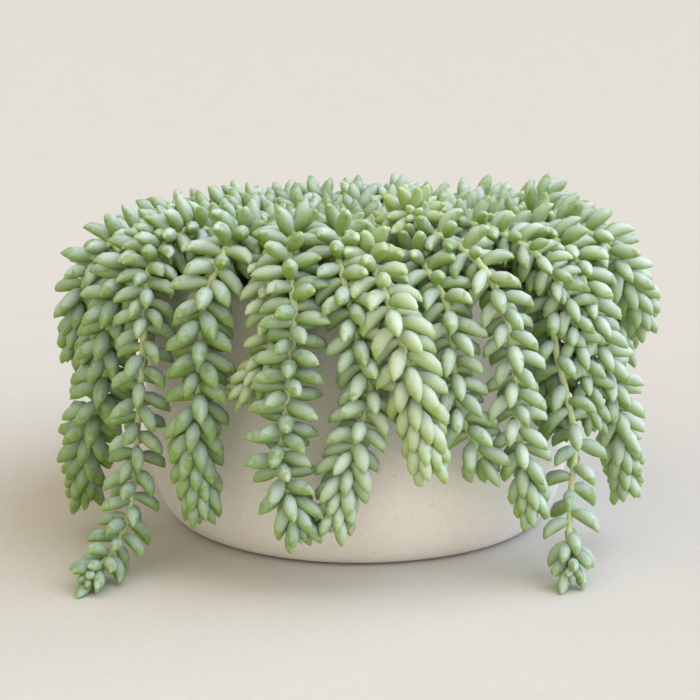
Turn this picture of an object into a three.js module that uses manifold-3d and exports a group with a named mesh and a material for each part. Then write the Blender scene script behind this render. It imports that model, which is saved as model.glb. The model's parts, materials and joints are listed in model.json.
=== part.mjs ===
// A burro's tail succulent in a low round stoneware pot, in millimetres with +Z up.
// The origin is the centre of the pot's foot, and the plant's front faces -Y.
// Each leafy stem is one solid: a slim stem with plump spindle leaves fused to it.
import * as THREE from "three";
import { mergeVertices } from "three/addons/utils/BufferGeometryUtils.js";
import Module from "manifold-3d";

// Driving dimensions of the pot
const POT_RADIUS = 150;
const POT_HEIGHT = 180;
const POT_WALL = 9;
const POT_FLOOR = 12;
const FOOT_RADIUS = 110;
const FOOT_HEIGHT = 1.2;
const CORNER_WIDTH = 26;
const CORNER_HEIGHT = 72;
const CORNER_STEPS = 4;
const LIP = 3;
const ROUND_SIDES = 32;

// Driving dimensions of the soil and of the holes that the stems stand in
const SOIL_TOP = 164;
const ROOT_DEPTH = 14;
const UPRIGHT_HEIGHTS = [-ROOT_DEPTH, 0, 14, 22];
const GAP = 0.3;
const WELD = 1e-4;

// Driving dimensions of a stem and its leaves
const STEM_RADIUS = 2.8;
const STEM_SIDES = 3;
const STEM_STEP = 27;
const BARE_FOOT = 33;
const LAST_ROOT = 4;
const LEAF_LENGTH = 21;
const LEAF_RADIUS = 6.6;
const LEAF_BELLY = 0.5;
const LEAF_CURL = 0.2;
const LEAF_SIDES = 3;
const SIZE_SPREAD = 0.12;
const BUD_SIZE = 0.8;
const BUD_SHARE = 0.2;
const GOLDEN_ANGLE = 137.5;
const BUNCH_LENGTH = 42;
const OPEN_ANGLE = 70;
const TIP_ANGLE = 20;
const LEAST_ANGLE = 8;
const WIDE_SPACING = 12.4;
const TIP_SPACING = 5.2;

// Finishes
const STONEWARE = { color: 0xe6dfd2, roughness: 0.62, metalness: 0 };
const POTTING_SOIL = { color: 0x4a3a2c, roughness: 0.95, metalness: 0 };
const BLUE_GREEN = { color: 0x9dbd9c, roughness: 0.55, metalness: 0 };
const YELLOW_GREEN = { color: 0xb4c98c, roughness: 0.55, metalness: 0 };

// Long stems seen from the front, left to right. root is where a stem leaves the soil, and route
// is the way it takes over the rim and down: [azimuth in degrees from the front, radius, height].
const FRONT_STEMS = [
  {
    root: [-72, 96],
    route: [[-66, 150, 206], [-65, 178, 203], [-67, 194, 180], [-71, 198, 150], [-74, 198, 128]],
  },
  {
    root: [-60, 78],
    route: [[-59, 146, 206], [-61, 172, 190], [-64, 182, 164], [-67, 186, 138], [-67, 189, 115]],
  },
  {
    root: [-53, 98],
    route: [[-53, 148, 211], [-52, 180, 196], [-54, 194, 165], [-57, 196, 120], [-63, 197, 84],
      [-68, 197, 56], [-71, 197, 30]],
  },
  {
    root: [-44, 82],
    route: [[-47, 145, 216], [-47, 176, 202], [-44, 191, 178], [-44, 195, 140], [-46, 195, 95],
      [-48, 195, 55], [-52, 198, 28], [-54, 205, 15], [-49, 222, 11], [-42, 243, 11]],
  },
  {
    root: [-31, 96],
    route: [[-31, 146, 216], [-30, 172, 203], [-31, 184, 178], [-32, 187, 130], [-33, 187, 80],
      [-32, 187, 50]],
  },
  {
    root: [-22, 76],
    route: [[-22, 146, 204], [-19, 170, 187], [-18, 174, 160], [-20, 176, 140], [-25, 178, 124]],
    young: true,
  },
  {
    root: [-16, 98],
    route: [[-16, 148, 222], [-14, 176, 205], [-12, 188, 180], [-13, 190, 140], [-14, 190, 108],
      [-15, 190, 86], [-13, 190, 64], [-11, 190, 42]],
  },
  {
    root: [-6, 80],
    route: [[-5, 146, 219], [-4, 172, 206], [-2, 182, 186], [0, 184, 155], [2, 184, 130], [0, 184, 108],
      [-2, 184, 86], [-4, 184, 62], [-5, 184, 47]],
  },
  {
    root: [4, 98],
    route: [[2, 148, 224], [3, 180, 212], [5, 193, 192], [7, 197, 165], [9, 197, 138], [11, 197, 106],
      [12, 197, 87]],
    young: true,
  },
  {
    root: [14, 78],
    route: [[14, 146, 217], [15, 170, 205], [17, 180, 185], [18, 182, 150], [19, 182, 122], [22, 182, 98],
      [26, 182, 76]],
  },
  {
    root: [20, 98],
    route: [[18, 142, 218], [21, 166, 214], [24, 184, 202], [27, 191, 176], [29, 192, 145], [30, 192, 110],
      [34, 192, 48]],
  },
  {
    root: [28, 74],
    route: [[29, 138, 222], [33, 165, 218], [38, 183, 203], [42, 190, 181], [45, 192, 152], [49, 192, 121],
      [52, 191, 94]],
  },
  {
    root: [40, 100],
    route: [[43, 145, 213], [42, 172, 198], [39, 188, 175], [38, 191, 148], [41, 193, 118], [45, 194, 85],
      [45, 194, 50], [44, 196, 27], [41, 203, 13], [34, 220, 11]],
  },
  { root: [56, 72], route: [[53, 138, 199], [50, 160, 190], [48, 168, 165], [47, 169, 130], [47, 170, 92]] },
  {
    root: [51, 92],
    route: [[49, 146, 213], [50, 174, 203], [49, 189, 180], [50, 194, 154], [55, 196, 122], [59, 197, 88],
      [64, 197, 42]],
  },
  { root: [66, 98], route: [[59, 150, 217], [59, 178, 209], [61, 192, 191], [66, 198, 168], [71, 198, 148]] },
];

// Long stems round the sides and back follow a rule: they hang in two layers, and only those
// behind the pot hang low, at azimuths less than lowSpan from the back. The one numbered longest
// reaches the surface and goes on along its trail: [turn, distance further out, height].
const SIDE_AND_BACK = {
  count: 17,
  from: 82,
  to: 278,
  roots: [78, 98],
  rim: 146,
  hangs: [181, 190],
  crest: 200,
  tilt: 3,
  crestSpread: 8,
  shoulder: { inward: 14, drop: 13 },
  fallStart: 38,
  low: 62,
  high: 126,
  lowSpan: 44,
  tipSpread: 20,
  swaySpread: 8,
  longest: 10,
  trail: [[-1, 6, 30], [-4, 18, 12], [-9, 42, 11]],
};

// Short shoots in the middle follow a sunflower spiral and lean outwards.
const MIDDLE_SHOOTS = { count: 13, spread: 17, start: 0.4, top: 199, topSpread: 6, lean: 14 };

// Short shoots that stand out of the crown, as base and tip.
const CROWN_SHOOTS = [
  { root: [24, 66], route: [[22, 84, 220], [21, 102, 236]], young: true },
  { root: [88, 112], route: [[90, 118, 216], [92, 127, 232]] },
  { root: [-62, 62], route: [[-60, 92, 203], [-58, 114, 208]] },
  { root: [-12, 56], route: [[-9, 84, 203], [-8, 106, 210]] },
];

const wasm = await Module();
wasm.setup();

// A seeded draw between 0 and 1 by a multiplicative sequence, so that each build is the same.
const MULTIPLIER = 16807;
const MODULUS = 2147483647;
let drawState = 2029;
function draw() {
  drawState = (drawState * MULTIPLIER) % MODULUS;
  return drawState / MODULUS;
}

// A seeded draw of the given width, evenly to both sides of zero.
function spread(width) {
  return width * (draw() - 0.5);
}

// A point given by its azimuth from the front, its radius and its height.
function at(azimuth, radius, height) {
  const a = THREE.MathUtils.degToRad(azimuth);
  return new THREE.Vector3(radius * Math.sin(a), -radius * Math.cos(a), height);
}

// A closed geometry as a solid that can be joined and cut.
function solidOf(geometry) {
  geometry.deleteAttribute("normal");
  geometry.deleteAttribute("uv");
  const merged = mergeVertices(geometry, WELD);
  return new wasm.Manifold(
    new wasm.Mesh({
      numProp: 3,
      vertProperties: merged.getAttribute("position").array,
      triVerts: new Uint32Array(merged.index.array),
    }),
  );
}

// A joined or cut solid as a named mesh.
function meshOf(solid, name, finish) {
  const { numProp, vertProperties, triVerts } = solid.getMesh();
  const positions = new Float32Array((vertProperties.length / numProp) * 3);
  for (let i = 0; i * 3 < positions.length; i++)
    positions.set(vertProperties.subarray(i * numProp, i * numProp + 3), i * 3);
  const geometry = new THREE.BufferGeometry();
  geometry.setAttribute("position", new THREE.BufferAttribute(positions, 3));
  geometry.setIndex(new THREE.BufferAttribute(new Uint32Array(triVerts), 1));
  const mesh = new THREE.Mesh(geometry, new THREE.MeshStandardMaterial(finish));
  mesh.name = name;
  return mesh;
}

// A profile of [radius, height] points turned round the Z axis.
function turned(profile) {
  const points = profile.map(([radius, height]) => new THREE.Vector2(radius, height));
  return solidOf(new THREE.LatheGeometry(points, ROUND_SIDES).rotateX(Math.PI / 2));
}

// The pot: a shallow foot, a belly that rounds under, straight sides and a chamfered lip.
function makePot() {
  const inside = POT_RADIUS - POT_WALL;
  const profile = [[0, 0], [FOOT_RADIUS, 0], [FOOT_RADIUS, FOOT_HEIGHT]];
  for (let i = 0; i <= CORNER_STEPS; i++) {
    const t = (i / CORNER_STEPS) * (Math.PI / 2);
    profile.push([
      POT_RADIUS - CORNER_WIDTH * (1 - Math.sin(t)),
      FOOT_HEIGHT + CORNER_HEIGHT * (1 - Math.cos(t)),
    ]);
  }
  profile.push([POT_RADIUS, POT_HEIGHT - LIP], [POT_RADIUS - LIP, POT_HEIGHT]);
  profile.push([inside + LIP, POT_HEIGHT], [inside, POT_HEIGHT - LIP]);
  profile.push([inside, FOOT_HEIGHT + CORNER_HEIGHT], [FOOT_RADIUS, POT_FLOOR], [0, POT_FLOOR]);
  return meshOf(turned(profile), "pot", STONEWARE);
}

// The soil fills the pot, with a plain hole for each stem.
function makeSoil(stems) {
  const outside = POT_RADIUS - POT_WALL - GAP;
  let soil = turned([
    [0, POT_FLOOR + GAP],
    [FOOT_RADIUS - 2 * GAP, POT_FLOOR + GAP],
    [outside - GAP, FOOT_HEIGHT + CORNER_HEIGHT],
    [outside, SOIL_TOP],
    [0, SOIL_TOP],
  ]);
  for (const { foot } of stems) {
    const bottom = foot.clone().setZ(SOIL_TOP - ROOT_DEPTH - GAP);
    const top = foot.clone().setZ(SOIL_TOP + ROOT_DEPTH);
    soil = soil.subtract(rod(new THREE.LineCurve3(bottom, top), 1, STEM_RADIUS + 2 * GAP));
  }
  return meshOf(soil, "soil", POTTING_SOIL);
}

// A three-sided rod along a curve.
function rod(curve, steps, radius) {
  const section = new THREE.Shape();
  for (let i = 0; i < STEM_SIDES; i++) {
    const a = (i / STEM_SIDES) * 2 * Math.PI;
    if (i === 0) section.moveTo(radius, 0);
    else section.lineTo(radius * Math.cos(a), radius * Math.sin(a));
  }
  return solidOf(new THREE.ExtrudeGeometry(section, { steps, bevelEnabled: false, extrudePath: curve }));
}

// A stem's centre line: straight up out of its hole, then along its route.
function layOut({ root, route, young = false }, name) {
  const [azimuth, radius] = root;
  const points = UPRIGHT_HEIGHTS.map((height) => at(azimuth, radius, SOIL_TOP + height));
  route.forEach((point) => points.push(at(...point)));
  const curve = new THREE.CatmullRomCurve3(points, false, "centripetal");
  const steps = Math.max(3, Math.round(curve.getLength() / STEM_STEP));
  const line = curve.getSpacedPoints(steps);
  return { name, curve, steps, line, foot: points[0], azimuth: route.at(-1)[0], young };
}

function sideAndBackStems() {
  const { count, from, to, roots, rim, hangs, crest, tilt, shoulder, fallStart, trail } = SIDE_AND_BACK;
  return Array.from({ length: count }, (_, k) => {
    const azimuth = from + ((to - from) * k) / (count - 1);
    const hang = hangs[k % 2];
    const isLow = Math.abs(azimuth - 180) < SIDE_AND_BACK.lowSpan;
    const tip = (isLow ? SIDE_AND_BACK.low : SIDE_AND_BACK.high) + spread(SIDE_AND_BACK.tipSpread);
    const sway = spread(SIDE_AND_BACK.swaySpread);
    const side = Math.sin(THREE.MathUtils.degToRad(azimuth));
    const top = crest + tilt * side + spread(SIDE_AND_BACK.crestSpread);
    const fall = top - fallStart;
    const route = [
      [azimuth, rim, top],
      [azimuth, hang - shoulder.inward, top - shoulder.drop],
      [azimuth + sway / 3, hang, fall],
      [azimuth + sway, hang, (fall + tip) / 2],
      [azimuth, hang, tip],
    ];
    if (k === SIDE_AND_BACK.longest)
      trail.forEach(([turn, out, height]) => route.push([azimuth + turn, hang + out, height]));
    return { root: [azimuth, roots[k % 2]], route };
  });
}

function middleShoots() {
  const { count, start, top, topSpread, lean } = MIDDLE_SHOOTS;
  return Array.from({ length: count }, (_, k) => {
    const azimuth = k * GOLDEN_ANGLE;
    const radius = MIDDLE_SHOOTS.spread * Math.sqrt(k + start);
    return { root: [azimuth, radius], route: [[azimuth, radius + lean, top + spread(topSpread)]] };
  });
}

function lengthOf(line) {
  return line.slice(1).reduce((sum, point, i) => sum + point.distanceTo(line[i]), 0);
}

// The point and direction of a stem at a distance along its straight steps.
function along(line, distance) {
  let left = distance;
  for (let i = 1; i < line.length; i++) {
    const step = line[i].distanceTo(line[i - 1]);
    const direction = line[i].clone().sub(line[i - 1]).divideScalar(step);
    if (left <= step || i === line.length - 1)
      return { point: line[i - 1].clone().addScaledVector(direction, Math.min(left, step)), direction };
    left -= step;
  }
  throw new Error("a stem has no steps");
}

// Spheres that cover a leaf, and those that cover a stem, test whether a new leaf is clear.
const LEAF_BALLS = [[0.22, 0.5], [0.38, 0.85], [0.52, 1], [0.68, 0.86], [0.84, 0.56], [0.97, 0.2]];
const STEM_BALL_STEP = 2.5;
const STEM_MARGIN = 0.4;

function stemBalls(stem) {
  const balls = [];
  const length = lengthOf(stem.line);
  for (let s = 0; s <= length; s += STEM_BALL_STEP)
    balls.push({ centre: along(stem.line, s).point, radius: STEM_RADIUS + STEM_MARGIN, owner: stem.name });
  return balls;
}

function leafBalls(leaf, owner) {
  return LEAF_BALLS.map(([t, share]) => ({
    centre: t < LEAF_BELLY
      ? leaf.root.clone().lerp(leaf.belly, t / LEAF_BELLY)
      : leaf.belly.clone().lerp(leaf.tip, (t - LEAF_BELLY) / (1 - LEAF_BELLY)),
    radius: leaf.radius * share,
    owner,
  }));
}

function clearOfPot({ centre, radius }) {
  const fromAxis = Math.hypot(centre.x, centre.y);
  const low = centre.z - radius;
  if (low < 2 * GAP) return false;
  if (low > POT_HEIGHT + GAP || fromAxis - radius > POT_RADIUS + GAP) return true;
  return fromAxis + radius < POT_RADIUS - POT_WALL - GAP && low > SOIL_TOP + GAP;
}

function clearOfOthers(ball, balls) {
  return balls.every(
    (other) =>
      other.owner === ball.owner ||
      other.centre.distanceToSquared(ball.centre) > (other.radius + ball.radius + GAP) ** 2,
  );
}

// A leaf grows from the stem's centre, opens away from it and curls back along it.
function leafAt(stem, distance, turn, open, length) {
  const { point, direction } = along(stem.line, distance);
  const side = at(stem.azimuth + 90, 1, 0).projectOnPlane(direction).normalize();
  const across = new THREE.Vector3().crossVectors(direction, side);
  const round = THREE.MathUtils.degToRad(turn);
  const lift = THREE.MathUtils.degToRad(open);
  const away = side.multiplyScalar(Math.cos(round)).addScaledVector(across, Math.sin(round));
  const axis = away.clone().multiplyScalar(Math.sin(lift)).addScaledVector(direction, Math.cos(lift));
  const curl = direction.clone().multiplyScalar(Math.sin(lift)).addScaledVector(away, -Math.cos(lift));
  const radius = LEAF_RADIUS * Math.min(1, length / LEAF_LENGTH);
  return {
    root: point,
    axis,
    curl,
    length,
    radius,
    belly: point.clone().addScaledVector(axis, length * LEAF_BELLY),
    tip: point.clone().addScaledVector(axis, length).addScaledVector(curl, length * LEAF_CURL),
  };
}

// A three-sided spindle with its ridge outwards and its tip bent along the stem.
function leafSolid({ root, axis, curl, length, radius }) {
  const belly = length * LEAF_BELLY;
  const points = [new THREE.Vector2(0, 0), new THREE.Vector2(radius, belly), new THREE.Vector2(0, length)];
  const geometry = new THREE.LatheGeometry(points, LEAF_SIDES, Math.PI);
  const position = geometry.getAttribute("position");
  for (let i = 0; i < position.count; i++)
    if (position.getY(i) > (belly + length) / 2) position.setZ(i, length * LEAF_CURL);
  const across = new THREE.Vector3().crossVectors(axis, curl);
  geometry.applyMatrix4(new THREE.Matrix4().makeBasis(across, axis, curl).setPosition(root));
  return solidOf(geometry);
}

// Changes tried in turn, until a leaf is clear of the other stems, the pot and the floor.
const NUDGES = [
  [0, 0, 1], [24, 0, 1], [-24, 0, 1], [0, -22, 1], [48, 0, 1], [-48, 0, 1], [24, -30, 0.92], [-24, -30, 0.92],
  [0, 18, 1], [70, -10, 0.92], [-70, -10, 0.92], [0, -40, 0.85], [95, -20, 0.85], [-95, -20, 0.85],
];

function leavesOf(stem, balls) {
  const length = lengthOf(stem.line) - LAST_ROOT;
  const leaves = [];
  let turn = 360 * draw();
  let distance = BARE_FOOT;
  while (distance < length) {
    const toTip = Math.min(1, (length - distance) / BUNCH_LENGTH);
    const size = LEAF_LENGTH * (1 + spread(SIZE_SPREAD)) * (toTip < BUD_SHARE ? BUD_SIZE : 1);
    const open = TIP_ANGLE + (OPEN_ANGLE - TIP_ANGLE) * toTip;
    for (const [sideways, fold, shrink] of NUDGES) {
      const angle = Math.max(LEAST_ANGLE, open + fold);
      const leaf = leafAt(stem, distance, turn + sideways, angle, size * shrink);
      const cover = leafBalls(leaf, stem.name);
      if (cover.every((ball) => clearOfPot(ball) && clearOfOthers(ball, balls))) {
        leaves.push(leaf);
        balls.push(...cover);
        break;
      }
    }
    turn += GOLDEN_ANGLE;
    distance += TIP_SPACING + (WIDE_SPACING - TIP_SPACING) * toTip;
  }
  return leaves;
}

function makeStem(stem, balls) {
  let solid = rod(stem.curve, stem.steps, STEM_RADIUS);
  for (const leaf of leavesOf(stem, balls)) solid = solid.add(leafSolid(leaf));
  return meshOf(solid, stem.name, stem.young ? YELLOW_GREEN : BLUE_GREEN);
}

const two = (n) => String(n).padStart(2, "0");
const numbered = (plans, name) => plans.map((plan, i) => layOut(plan, name + two(i + 1)));
const stems = [
  ...numbered([...FRONT_STEMS, ...sideAndBackStems()], "trailing_stem_"),
  ...numbered([...CROWN_SHOOTS, ...middleShoots()], "short_shoot_"),
];
const balls = stems.flatMap(stemBalls);

const plant = new THREE.Group();
plant.add(makePot(), makeSoil(stems));
stems.forEach((stem) => plant.add(makeStem(stem, balls)));
export default plant;
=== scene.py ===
"""A potted burro's tail: a low stoneware bowl with leafy stems that hang over its rim.

Every size is in metres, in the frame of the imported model: the origin is the centre of the pot's
foot, +Z is up, and the plant's front faces -Y.
"""

import json
import logging
import math
from dataclasses import dataclass, field
from enum import Enum
from typing import Iterable

import bpy
import numpy as np
from mathutils import Matrix, Quaternion, Vector
from mathutils.kdtree import KDTree

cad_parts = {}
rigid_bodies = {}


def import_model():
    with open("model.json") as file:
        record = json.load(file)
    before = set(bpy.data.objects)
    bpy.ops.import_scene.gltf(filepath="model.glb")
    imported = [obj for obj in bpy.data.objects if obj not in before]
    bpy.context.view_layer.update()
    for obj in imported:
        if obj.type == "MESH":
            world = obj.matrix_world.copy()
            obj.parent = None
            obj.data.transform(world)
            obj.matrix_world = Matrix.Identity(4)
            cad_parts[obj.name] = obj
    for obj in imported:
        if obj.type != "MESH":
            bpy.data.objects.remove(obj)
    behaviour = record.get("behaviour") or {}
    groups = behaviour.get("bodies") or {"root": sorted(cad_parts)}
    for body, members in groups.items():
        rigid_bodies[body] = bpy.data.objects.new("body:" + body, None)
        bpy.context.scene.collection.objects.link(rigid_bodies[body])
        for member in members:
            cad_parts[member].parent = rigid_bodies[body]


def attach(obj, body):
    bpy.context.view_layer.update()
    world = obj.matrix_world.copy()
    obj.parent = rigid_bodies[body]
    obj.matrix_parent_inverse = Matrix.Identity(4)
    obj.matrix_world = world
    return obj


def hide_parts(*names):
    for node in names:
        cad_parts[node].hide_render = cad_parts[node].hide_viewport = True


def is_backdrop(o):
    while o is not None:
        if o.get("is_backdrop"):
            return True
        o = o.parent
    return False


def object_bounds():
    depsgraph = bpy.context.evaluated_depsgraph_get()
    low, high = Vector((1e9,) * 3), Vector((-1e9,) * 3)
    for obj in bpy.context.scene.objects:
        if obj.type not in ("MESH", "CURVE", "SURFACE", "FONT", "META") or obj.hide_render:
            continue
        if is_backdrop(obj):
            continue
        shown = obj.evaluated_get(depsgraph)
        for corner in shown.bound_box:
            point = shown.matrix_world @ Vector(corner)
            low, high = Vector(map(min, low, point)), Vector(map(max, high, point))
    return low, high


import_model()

LOG = logging.getLogger("burros_tail")
BODY = "root"
SEED = 2029
GOLDEN_ANGLE = math.radians(137.5)
TINY = 1e-9

Point = tuple[float, float, float]
Rgb = tuple[float, float, float]
Colour = tuple[float, float, float, float]


def at(azimuth: float, radius: float, height: float) -> Vector:
    """Gives a point by its azimuth from the front, its radius and its height.

    Args:
        azimuth: degrees from the front, towards +X.
        radius: distance from the pot's axis.
        height: height above the floor.

    Returns:
        The point.
    """
    turn = math.radians(azimuth)
    return Vector((radius * math.sin(turn), -radius * math.cos(turn), height))


def unit(rows: np.ndarray) -> np.ndarray:
    """Scales each row to length one.

    Args:
        rows: vectors, one a row.

    Returns:
        The same directions at length one.
    """
    return rows / np.maximum(np.linalg.norm(rows, axis=-1, keepdims=True), TINY)


class Draw:
    """A seeded draw between 0 and 1, so that the hidden stems are laid out alike on each run."""

    MULTIPLIER = 16807
    MODULUS = 2147483647

    def __init__(self, seed: int) -> None:
        """Starts the sequence at a seed."""
        self.state = seed

    def spread(self, width: float) -> float:
        """Draws a value from minus half a width to half the width, evenly."""
        self.state = self.state * self.MULTIPLIER % self.MODULUS
        return width * (self.state / self.MODULUS - 0.5)


class Maturity(Enum):
    """How old a stem is: a young one is yellower and lets more light through."""

    GROWN = "grown"
    YOUNG = "young"


@dataclass(frozen=True)
class Growth:
    """How the leaves of a stem stand.

    Attributes:
        spacing: distance between neighbouring leaves along the stem's open stretch.
        opening: the angle in degrees there between the stem and the line from a leaf's root to its tip.
        hooked: the share of leaves that bend strongly.
        bunch: length of the tip over which the leaves fold up into a bunch.
        fold: what is left of the opening at the very tip, in degrees.
        crowd: distance between neighbouring leaves at the very tip.
        size: length of its leaves against the usual one.
        plump: girth of its leaves against the usual one.
        warmth: how far its bloom is from blue-green, 0, to pale, 1; partly each stem's own tone, and for the
            stems at the right partly painted light, where the key lamp falls.
        foot: length from its root over which its leaves stand closest.
    """

    spacing: float = .0025
    opening: float = 66
    hooked: float = .5
    bunch: float = .055
    fold: float = 8
    crowd: float = .0013
    size: float = 1.0
    plump: float = 1.0
    warmth: float = .35
    foot: float = .042


class Habit(Enum):
    """The ways in which the leaves stand on a stem."""

    EVEN = Growth()
    LEVEL = Growth(opening=84, hooked=.05, bunch=.040, warmth=.38)
    PALE = Growth(warmth=.9)
    BENT = Growth(
        spacing=.0033, opening=64, hooked=.75, bunch=.046, fold=12, crowd=.0020, size=.97, plump=.98,
        warmth=.15, foot=.19,
    )
    SCALY = Growth(opening=64, hooked=.3, bunch=.072, size=1.08, warmth=.0)
    CLAWED = Growth(opening=56, hooked=.95, bunch=.062, size=1.08, warmth=.8)
    AIRY = Growth(spacing=.0029, opening=62, hooked=.8, bunch=.056, size=.95, warmth=.75)
    SPARSE = Growth(
        spacing=.0056, hooked=.8, bunch=.040, fold=18, crowd=.0016, size=.94, plump=1.08, warmth=.4,
        foot=.125,
    )
    SMALL = Growth(opening=64, bunch=.038, size=.84, warmth=.6)
    LOOSE = Growth(spacing=.0029, opening=64, hooked=.9, bunch=.024, crowd=.0018, warmth=.65)
    # Painted light: the stems at the far right get the palest bloom, partly their own tone and partly
    # painted light where the key lamp falls strongest.
    SUNNY = Growth(opening=60, bunch=.064, warmth=.9)
    SHOOT = Growth(
        spacing=.0033, opening=58, hooked=.1, bunch=.034, fold=16, size=1.08, plump=.86, warmth=.12
    )
    ROSETTE = Growth(opening=82, hooked=.1, bunch=.026, fold=40, crowd=.0010, warmth=.2)


@dataclass(frozen=True)
class StemPlan:
    """The way that one stem takes.

    Attributes:
        root: azimuth in degrees and radius where it leaves the soil.
        route: azimuth, radius and height of the points that it then passes.
        habit: how its leaves stand.
        maturity: whether it is a young stem.
    """

    root: tuple[float, float]
    route: tuple[Point, ...]
    habit: Habit = Habit.EVEN
    maturity: Maturity = Maturity.GROWN


FRONT_STEMS = (
    StemPlan((-72, .096), ((-66, .150, .206), (-65, .178, .203), (-67, .194, .180), (-71, .198, .150),
                           (-74, .198, .128))),
    StemPlan((-60, .078), ((-59, .146, .206), (-61, .172, .190), (-64, .182, .164), (-67, .186, .138),
                           (-67, .189, .115))),
    StemPlan((-53, .098), ((-53, .148, .211), (-52, .180, .196), (-54, .194, .165), (-57, .196, .120),
                           (-63, .197, .084), (-68, .197, .056), (-71, .197, .030)), Habit.SCALY),
    StemPlan((-44, .082), ((-47, .145, .216), (-47, .176, .202), (-44, .191, .178), (-44, .195, .140),
                           (-46, .195, .095), (-47.5, .196, .055), (-47, .202, .037), (-46.6, .211, .022),
                           (-45, .228, .0135), (-43, .247, .010)), Habit.BENT),
    StemPlan((-31, .096), ((-31, .146, .216), (-30, .172, .203), (-31, .184, .178), (-32, .187, .130),
                           (-33, .187, .080), (-32, .187, .050)), Habit.SCALY),
    StemPlan((-22, .076), ((-22, .146, .204), (-19, .170, .187), (-18, .174, .160), (-20, .176, .140),
                           (-25, .178, .124)), Habit.SMALL, Maturity.YOUNG),
    StemPlan((-16, .098), ((-16, .148, .222), (-14, .176, .205), (-12, .188, .180), (-13, .190, .140),
                           (-14, .190, .108), (-15, .190, .086), (-13, .190, .064), (-11, .190, .042)),
             Habit.LEVEL),
    StemPlan((-6, .080), ((-5, .146, .219), (-4, .172, .206), (-2, .182, .186), (0, .184, .155),
                          (2, .184, .130), (0, .184, .108), (-2, .184, .086), (-4, .184, .062),
                          (-5, .184, .047)), Habit.PALE),
    StemPlan((4, .098), ((2, .146, .208), (3, .176, .201), (5, .191, .186), (7, .197, .165),
                         (9, .197, .138), (11, .197, .106), (12, .197, .087)), Habit.CLAWED, Maturity.YOUNG),
    StemPlan((14, .078), ((14, .146, .205), (15, .170, .196), (17, .180, .180), (18, .182, .150),
                          (19, .182, .122), (22, .182, .098), (26, .182, .076)), Habit.LOOSE),
    StemPlan((20, .098), ((18, .142, .218), (21, .166, .214), (24, .184, .202), (27, .191, .176),
                          (29, .192, .145), (30, .192, .110), (34, .192, .048)), Habit.AIRY),
    StemPlan((28, .074), ((29, .138, .222), (33, .165, .218), (38, .183, .203), (42, .190, .181),
                          (45, .192, .152), (49, .192, .121), (52, .191, .094)), Habit.SMALL),
    StemPlan((40, .100), ((43, .145, .211), (42, .170, .197), (41, .183, .175), (41, .186, .148),
                          (43, .190, .118), (45, .193, .085), (43, .196, .055), (41.5, .200, .036),
                          (40, .206, .022), (37, .219, .012)), Habit.SPARSE),
    StemPlan((56, .072), ((53, .138, .199), (50, .160, .190), (48, .168, .165), (47, .169, .130),
                          (47, .170, .092))),
    StemPlan((51, .092), ((49, .146, .213), (50, .174, .203), (49, .189, .180), (50, .194, .154),
                          (55, .196, .122), (59, .197, .088), (64, .197, .042)), Habit.SUNNY),
    StemPlan((66, .098), ((59, .150, .217), (59, .178, .209), (61, .192, .191), (66, .198, .168),
                          (71, .198, .148)), Habit.SUNNY),
)

CROWN_SHOOTS = (
    StemPlan((24, .066), ((21, .084, .214), (17.5, .112, .225), (14.8, .136, .2285)), Habit.ROSETTE,
             Maturity.YOUNG),
    StemPlan((88, .112), ((90, .119, .212), (92, .135, .225)), Habit.SHOOT),
    StemPlan((-62, .062), ((-60, .092, .203), (-58, .114, .208)), Habit.SHOOT),
    StemPlan((-12, .056), ((-9, .084, .203), (-8, .106, .210)), Habit.SHOOT),
)


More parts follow.
